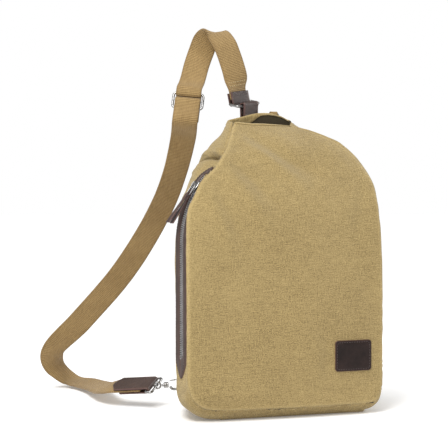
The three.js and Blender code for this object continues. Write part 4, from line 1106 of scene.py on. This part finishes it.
pad_G = panel_part(back_G, 4, 13, 1 / 14, 13 / 14, 56)
pad_N = normals(pad_G)
pu = np.linspace(-1, 1, pad_G.shape[1])[None]
pv = np.linspace(-1, 1, pad_G.shape[0])[:, None]
crown = (1 - np.abs(pu) ** 6) * (1 - np.abs(pv) ** 6)
channel = np.ones_like(crown)
for z in (80, 135, 190, 240):
    channel = np.minimum(channel, smooth(np.abs(pad_G[..., 2] - z), 0.5, 7.0))
foam = cloth("foam_pad", pad_G - pad_N * (CANVAS + CLEAR + 0.6), pad_N, ([LINING_WITH_PAINTED_SHADE, LINING_WITH_PAINTED_SHADE], "bag", "foam"),
             thick=1.3 + 2.6 * crown * (0.35 + 0.65 * channel), stands_for=["back_pad"])


def swell(ob, pressure, cap):
    """Short cloth run on a closed soft piece, pinned at its top and foot, with its movement capped."""
    rest = np.array([v.co for v in ob.data.vertices])
    mod = ob.modifiers.new("Cloth", "CLOTH")
    st = mod.settings
    st.quality, st.mass, st.time_scale = 4, 0.15, 0.6
    st.tension_stiffness = st.compression_stiffness = 12
    st.bending_stiffness = 0.6
    st.use_pressure, st.uniform_pressure_force = True, pressure
    st.effector_weights.gravity = 0
    mod.collision_settings.use_collision = False
    group = ob.vertex_groups.new(name="pin")
    lo, hi = rest.min(0), rest.max(0)
    rim = [i for i, p in enumerate(rest) if p[2] > hi[2] - 0.006 or p[2] < lo[2] + 0.006]
    group.add(rim, 1.0, "REPLACE")
    st.vertex_group_mass = "pin"
    mod.point_cache.frame_start, mod.point_cache.frame_end = 1, 20
    for f in range(1, 21):
        scene.frame_set(f)
    dg = bpy.context.evaluated_depsgraph_get()
    ev = ob.evaluated_get(dg)
    moved = np.array([v.co for v in ev.data.vertices])
    ob.modifiers.remove(mod)
    d = moved - rest
    L = np.linalg.norm(d, axis=1, keepdims=True)
    d = d * np.minimum(1, cap / np.maximum(L, 1e-9))
    ob.data.vertices.foreach_set("co", (rest + d).astype(np.float32).ravel())
    ob.data.update()
    scene.frame_set(1)


swell(foam, 1.5, 0.0012)
pocket_G = panel_part(back_G, 7, 10, 3 / 14, 11 / 14, 40)
pocket_N = normals(pocket_G)
pocket_S = pocket_G - pocket_N * (CANVAS + CLEAR + 5 + CLEAR + 0.2
                                  + 0.5 * wob(pocket_G, 30.0, 31)[..., None])
cloth("pocket_cloth", pocket_S, pocket_N, ([LINING_WITH_PAINTED_SHADE, LINING_WITH_PAINTED_SHADE], "bag", "lining"), thick=1.0,
      stands_for=["inner_pocket"])
stitches("pocket_stitches", pocket_S[3] - pocket_N[3] * 1.05, -pocket_N[3], (THREAD, "bag", "lining"),
         pitch=3.4)

# ---------------------------------------------------------------- zip
def teeth(name, side, node):
    """One row of teeth, on that side of the zip's middle."""
    pitch = 2.4
    total = math.radians(TEETH_TOP) * ZIP_R + STRAIGHT_TOP - TEETH_LOW
    P, O, D = zip_run(TEETH_TOP, TEETH_LOW, 0.3)
    s = np.linspace(0, total, len(P))
    at = np.arange(0.9 + (0.5 * pitch if side > 0 else 0), total - 0.6, pitch)
    p, o, d = (at_lengths(at, s, a) for a in (P, O, D))
    o, d = unit(o), unit(d)
    # outline of a tooth across the zip and out, and its half length along the zip at each point
    prof = V((0.30, -1.15, 0.62), (0.30, 0.15, 0.70), (0.42, 0.55, 0.66), (0.95, 0.82, 0.60),
             (2.0, 0.86, 0.60), (2.75, 0.55, 0.66), (3.0, 0.05, 0.70), (3.0, -1.15, 0.66))
    middle, k, pts = V(1.65, -0.2), len(prof), []
    for q in range(len(p)):
        for f, shrinks in ((-1.0, 0.82), (-0.8, 1.0), (0.8, 1.0), (1.0, 0.82)):
            wh = middle + (prof[:, :2] - middle) * shrinks
            pts.append(p[q] + zip_wide * side * wh[:, :1] + o[q] * wh[:, 1:] + d[q] * prof[:, 2:] * f)
    uv = np.stack(np.meshgrid(np.arange(k + 1), np.arange(4)), -1)
    faces, uv = copies(len(p), 4 * k, *loft(4, k, uv, [uv[0], uv[0]]))
    fix_normals(make(name, pts, faces, (TEETH, "bag", "zip_teeth"), uv, wear=np.full(len(p) * 4 * k, 0.5),
                     stands_for=[node]))


teeth("teeth_front", 1, "zip_teeth_front")
teeth("teeth_rear", -1, "zip_teeth_rear")
for side, s in (("front", 1), ("rear", -1)):
    P, O, D = zip_run(TEETH_TOP, TEETH_LOW, 2.0)
    band(f"tape_{side}", P + zip_wide * s * 5.4 - O * 0.95, zip_wide, 5.4, 0.8, (TAPE, "bag", "zip_tape"),
         [f"zip_tape_{side}"], step=2.0, cols=6)

# leather trim on both sides of the teeth, joined at the top and at the pointed end
TP, TO, _ = zip_run(ZIP_END, TIP_LOW, 1.5)
ts = lengths(TP)
tip = ts[-1] - ts
half_w = TRIM * np.where(tip < 19, np.clip(np.sqrt(np.clip(tip / 19, 0, 1)) * 0.62 + 0.38 * tip / 19, 0.05,
                                           1), 1.0)
half_w = half_w * np.clip(np.sqrt(np.clip(ts / 9.0, 0.02, 1)), 0.15, 1) * (0.62 + 0.38 * smooth(ts, 2, 18))
open_top = math.radians(ZIP_END - TEETH_TOP) * ZIP_R
open_low = TEETH_LOW - TIP_LOW
gap = TEETH_OPEN * smooth(ts, open_top - 4.5, open_top + 0.5) * smooth(tip, open_low - 1.0, open_low + 3.5)
TRIM_COLS = 9


def trim_side(name, sgn, stands_for):
    f = np.linspace(0, 1, TRIM_COLS)
    g, wide = gap[:, None], (half_w - gap)[:, None]
    w = g + wide * f - np.where(g > 0.05, 0.0, 0.02)
    h = 1.35 + 0.55 * np.sin(math.pi * f) ** 0.6 - 1.0 * np.exp(-(1 - f) * wide / 0.6)
    h = h - 1.1 * np.exp(-f * wide / 0.7) * (g > 0.3)
    N = np.repeat(TO[:, None], TRIM_COLS, 1)
    G = TP[:, None] + zip_wide * sgn * w[..., None] + N * h[..., None]
    G += N * (0.12 * wob(G, 9.0, 23))[..., None]
    wear = np.exp(-np.minimum(f, 1 - f) * 7 / 0.9) * 0.8
    cloth(name, G, N, HIDE, thick=1.1, wear=wear, stands_for=stands_for, inner=0)
    sewn = (ts > 3) & (tip > 8)
    line = (TP + zip_wide * sgn * (half_w - 2.0)[:, None] + TO * 1.95)[sewn]
    stitches(f"{name}_stitches", line, TO[sewn], LEATHER_THREAD, pitch=3.2, length=2.4, r=0.3)


trim_side("trim_front", 1, ["zip_trim"])
trim_side("trim_rear", -1, [])

sp, so = zip_at(REST), zip_out(REST)
sd = -zip_in * math.sin(math.radians(REST)) - UP * math.cos(math.radians(REST))
a = np.linspace(0, 2 * math.pi, 48, endpoint=False)
egg = np.stack([np.cos(a) * (1 - 0.16 * np.sin(a)), np.sin(a)], 1)
egg = np.sign(egg) * np.abs(egg) ** 0.72 * V(4.6, 6.0)
slider_axes = zip_wide, sd, so
plate("slider_cap", sp, slider_axes, egg, [(2.2, 2.2), (0.35, 2.2), (0, 2.5), (0, 2.95), (0.4, 3.3),
                                           (1.4, 3.42), (3.0, 3.45)], SLIDER, ["slider_body"],
      wear=[0, 0, 1, 1, 1, 0.3, 0])
plate("slider_base", sp, slider_axes, egg * V(0.56, 1), [(0.8, -3.1), (0.2, -3.1), (0, -2.9), (0, -2.3),
    (0.2, -2.1), (0.8, -2.1)], SLIDER)
plate("slider_neck", sp, slider_axes, rounded(0.26, 4.6, 0.2, 3), [(0, -2.4), (0, 2.4)], SLIDER)
bridge = through([sp + sd * t + so * h for t, h in ((-4.3, 3.3), (-4.2, 4.4), (-3.9, 5.6), (-2.6, 6.7),
    (0, 7.0), (2.6, 6.7), (3.9, 5.6), (4.2, 4.4), (4.3, 3.3))], 3)
wire("slider_arch", bridge, zip_wide, 0.75, False, SLIDER, sides=16, step=0.4, stands_for=["slider_bridge"])
hinge = sp + so * 5.0
wire("puller_ring", rounded_loop(hinge + sd * 6.5, zip_wide, sd, 3.3, 6.5, 1.3), so, 0.7, True,
     (METAL, "puller", "metal"), sides=16, step=0.4, stands_for=["puller_link"])
thong = [(52, 3.6), (46, 3.2), (40, 2.8), (34, 2.4), (28, 2.1), (18, 1.75),
         (13, 1.75)] + [(13 - 1.75 * math.sin(math.pi * k / 12), 1.75 * math.cos(math.pi * k / 12))
                        for k in range(1, 12)]
thong += [(13, -1.75), (18, -1.75), (28, -1.6), (34, -1.45), (40, -1.3), (45, -1.15), (50, -1.0)]
band("puller_leather", [hinge + sd * t + so * h for t, h in thong], zip_wide,
     lambda u: 3.8 + 3 * min(1, max(0, abs(u - 0.5) - 0.14) * 4), 1.3,
     ([LEATHER, EDGE], "puller", "leather"), ["puller_thong"], step=0.8, cols=6)


# ---------------------------------------------------------------- patch
def patch_bend(pts):
    u = (pts[:, 0] + 111.1) / 228
    out = pts.copy()
    out[:, 1] += -46 - PUFF_FRONT * (1 - (2 * u - 1) ** 2)
    return out


rim = [(3.0, 0.05), (0.3, 0.05), (0.0, 0.35), (0.0, 1.25), (0.25, 1.6), (0.7, 1.82), (1.4, 1.9), (1.9, 1.72),
       (2.2, 1.48), (2.5, 1.72), (3.1, 1.92), (5.0, 1.98), (8.0, 2.02), (12.0, 2.04), (15.0, 2.05)]
plate("patch", V(79, 0, 66), (V(1, 0, 0), V(0, 0, 1), V(0, -1, 0)), rounded(22, 17, 3.5), rim,
      ([PATCH, EDGE], "bag", "leather"), ["leather_patch"], bend=patch_bend,
      shape=lambda d: rounded(22 - d, 17 - d, max(0.4, 3.5 - 0.8 * d)), which=[0, 1, 1, 1] + [0] * 10,
      wear=[0, 0, .3, .8, 1, .7, .2, 0, 0, 0, .1, 0, 0, 0, 0])
loop = rounded(19.8, 14.8, 1.8)
loop = np.concatenate([loop, loop[:1]])
line = patch_bend(np.stack([79 + loop[:, 0], np.full(len(loop), -1.62), 66 + loop[:, 1]], 1))
stitches("patch_stitches", line, V(0, -1, 0), LEATHER_THREAD, pitch=3.0, length=2.2, r=0.3)


# ---------------------------------------------------------------- low rings and small loop
def low_ring(side, x, out, body):
    bar = V(x, 55.1, 28)
    over = [V(x, bar[1] - 2.7 * math.cos(a), bar[2] + 2.7 * math.sin(a))
            for a in np.linspace(0, math.pi, 13)]
    tab = [V(x, 52.4, 15), V(x, 52.4, 22), *over, V(x, 56.8, 21), V(x, 55, 15)]
    band(f"ring_tab_{side}", tab, V(1, 0, 0), 18, 1.6, WEB, [f"ring_anchor_{side}"], step=0.8, cols=8)
    W, STRAIGHT = 13.6, 8
    arc = [(W * math.cos(math.pi * k / 18), STRAIGHT + W * math.sin(math.pi * k / 18)) for k in range(19)]
    around = [(W - 2, 0), (W - 0.6, 0.6), (W, 2), *arc, (-W, 2), (-W + 0.6, 0.6), (-W + 2, 0)]
    path = [bar + V(1, 0, 0) * a + out * b for a, b in around]
    wire(f"dee_{side}", path, unit(np.cross(V(1, 0, 0), out)), 1.5, True, (METAL, body, "metal"),
         stands_for=[f"d_ring_{side}"])
    row = np.array([V(x + q, 57.75, 17.5) for q in np.linspace(-7.5, 7.5, 6)])
    stitches(f"ring_tab_stitches_{side}", row, V(0, 1, 0), WEB_THREAD, pitch=2.8, length=2.1, r=0.3)


low_ring("left", -75.4, unit(0, 7.4, -2), "ring_left")
low_ring("right", 76.4, unit(0, 0.12, -1), "ring_right")
bar = V(22, 52.5, 339)
eye_path, _ = fold(bar, V(1, 0, 0), unit(0, -0.12, -1), 2.2, 18, 18, -0.6)
band("small_loop", eye_path, V(1, 0, 0), 9, 1.2, WEB, ["eyelet_loop"], step=0.8, cols=6)
eye_out = unit(0, 0.5, -0.87)
wire("small_ring", rounded_loop(bar + eye_out * 5.4, V(1, 0, 0), eye_out, 6.4, 5.4, 1.6),
     unit(np.cross(V(1, 0, 0), eye_out)), 1.0, True, (METAL, "eyelet", "metal"), sides=16, step=0.5,
     stands_for=["eyelet_ring"])

# stitches on the leather tab and wrap
tab_face = tab_n if tab_n[1] < 0 else -tab_n
for x in (-10.4, 10.4):
    run = np.array([front_bar + unit(0, -0.04, -1) * t + ring_long * x
                    + tab_face * (2.9 - 0.6 * t / 30 + 0.92) for t in np.linspace(7, 26, 8)])
    stitches(f"tab_stitches_{'a' if x < 0 else 'b'}", run, tab_face, LEATHER_THREAD, pitch=3.2, r=0.3)
wrap_face = wrap_n if wrap_n[1] < 0 else -wrap_n
run = rear_bar + strap_up * 9.5 + wrap_face * (2.6 + 0.85) + ring_long * np.linspace(-13.5, 13.5, 9)[:, None]
stitches("wrap_stitches", run, wrap_face, LEATHER_THREAD, pitch=3.2, r=0.3)

# ---------------------------------------------------------------- CAD pieces that stay
for name, m in (("base_board", BOARD), ("magnet_front", METAL), ("magnet_back", METAL),
                ("zip_bottom_stop", TEETH)):
    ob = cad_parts[name]
    for k in range(max(1, len(ob.material_slots))):
        if not ob.material_slots:
            ob.data.materials.append(m)
        ob.material_slots[k].material = m

low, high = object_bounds()
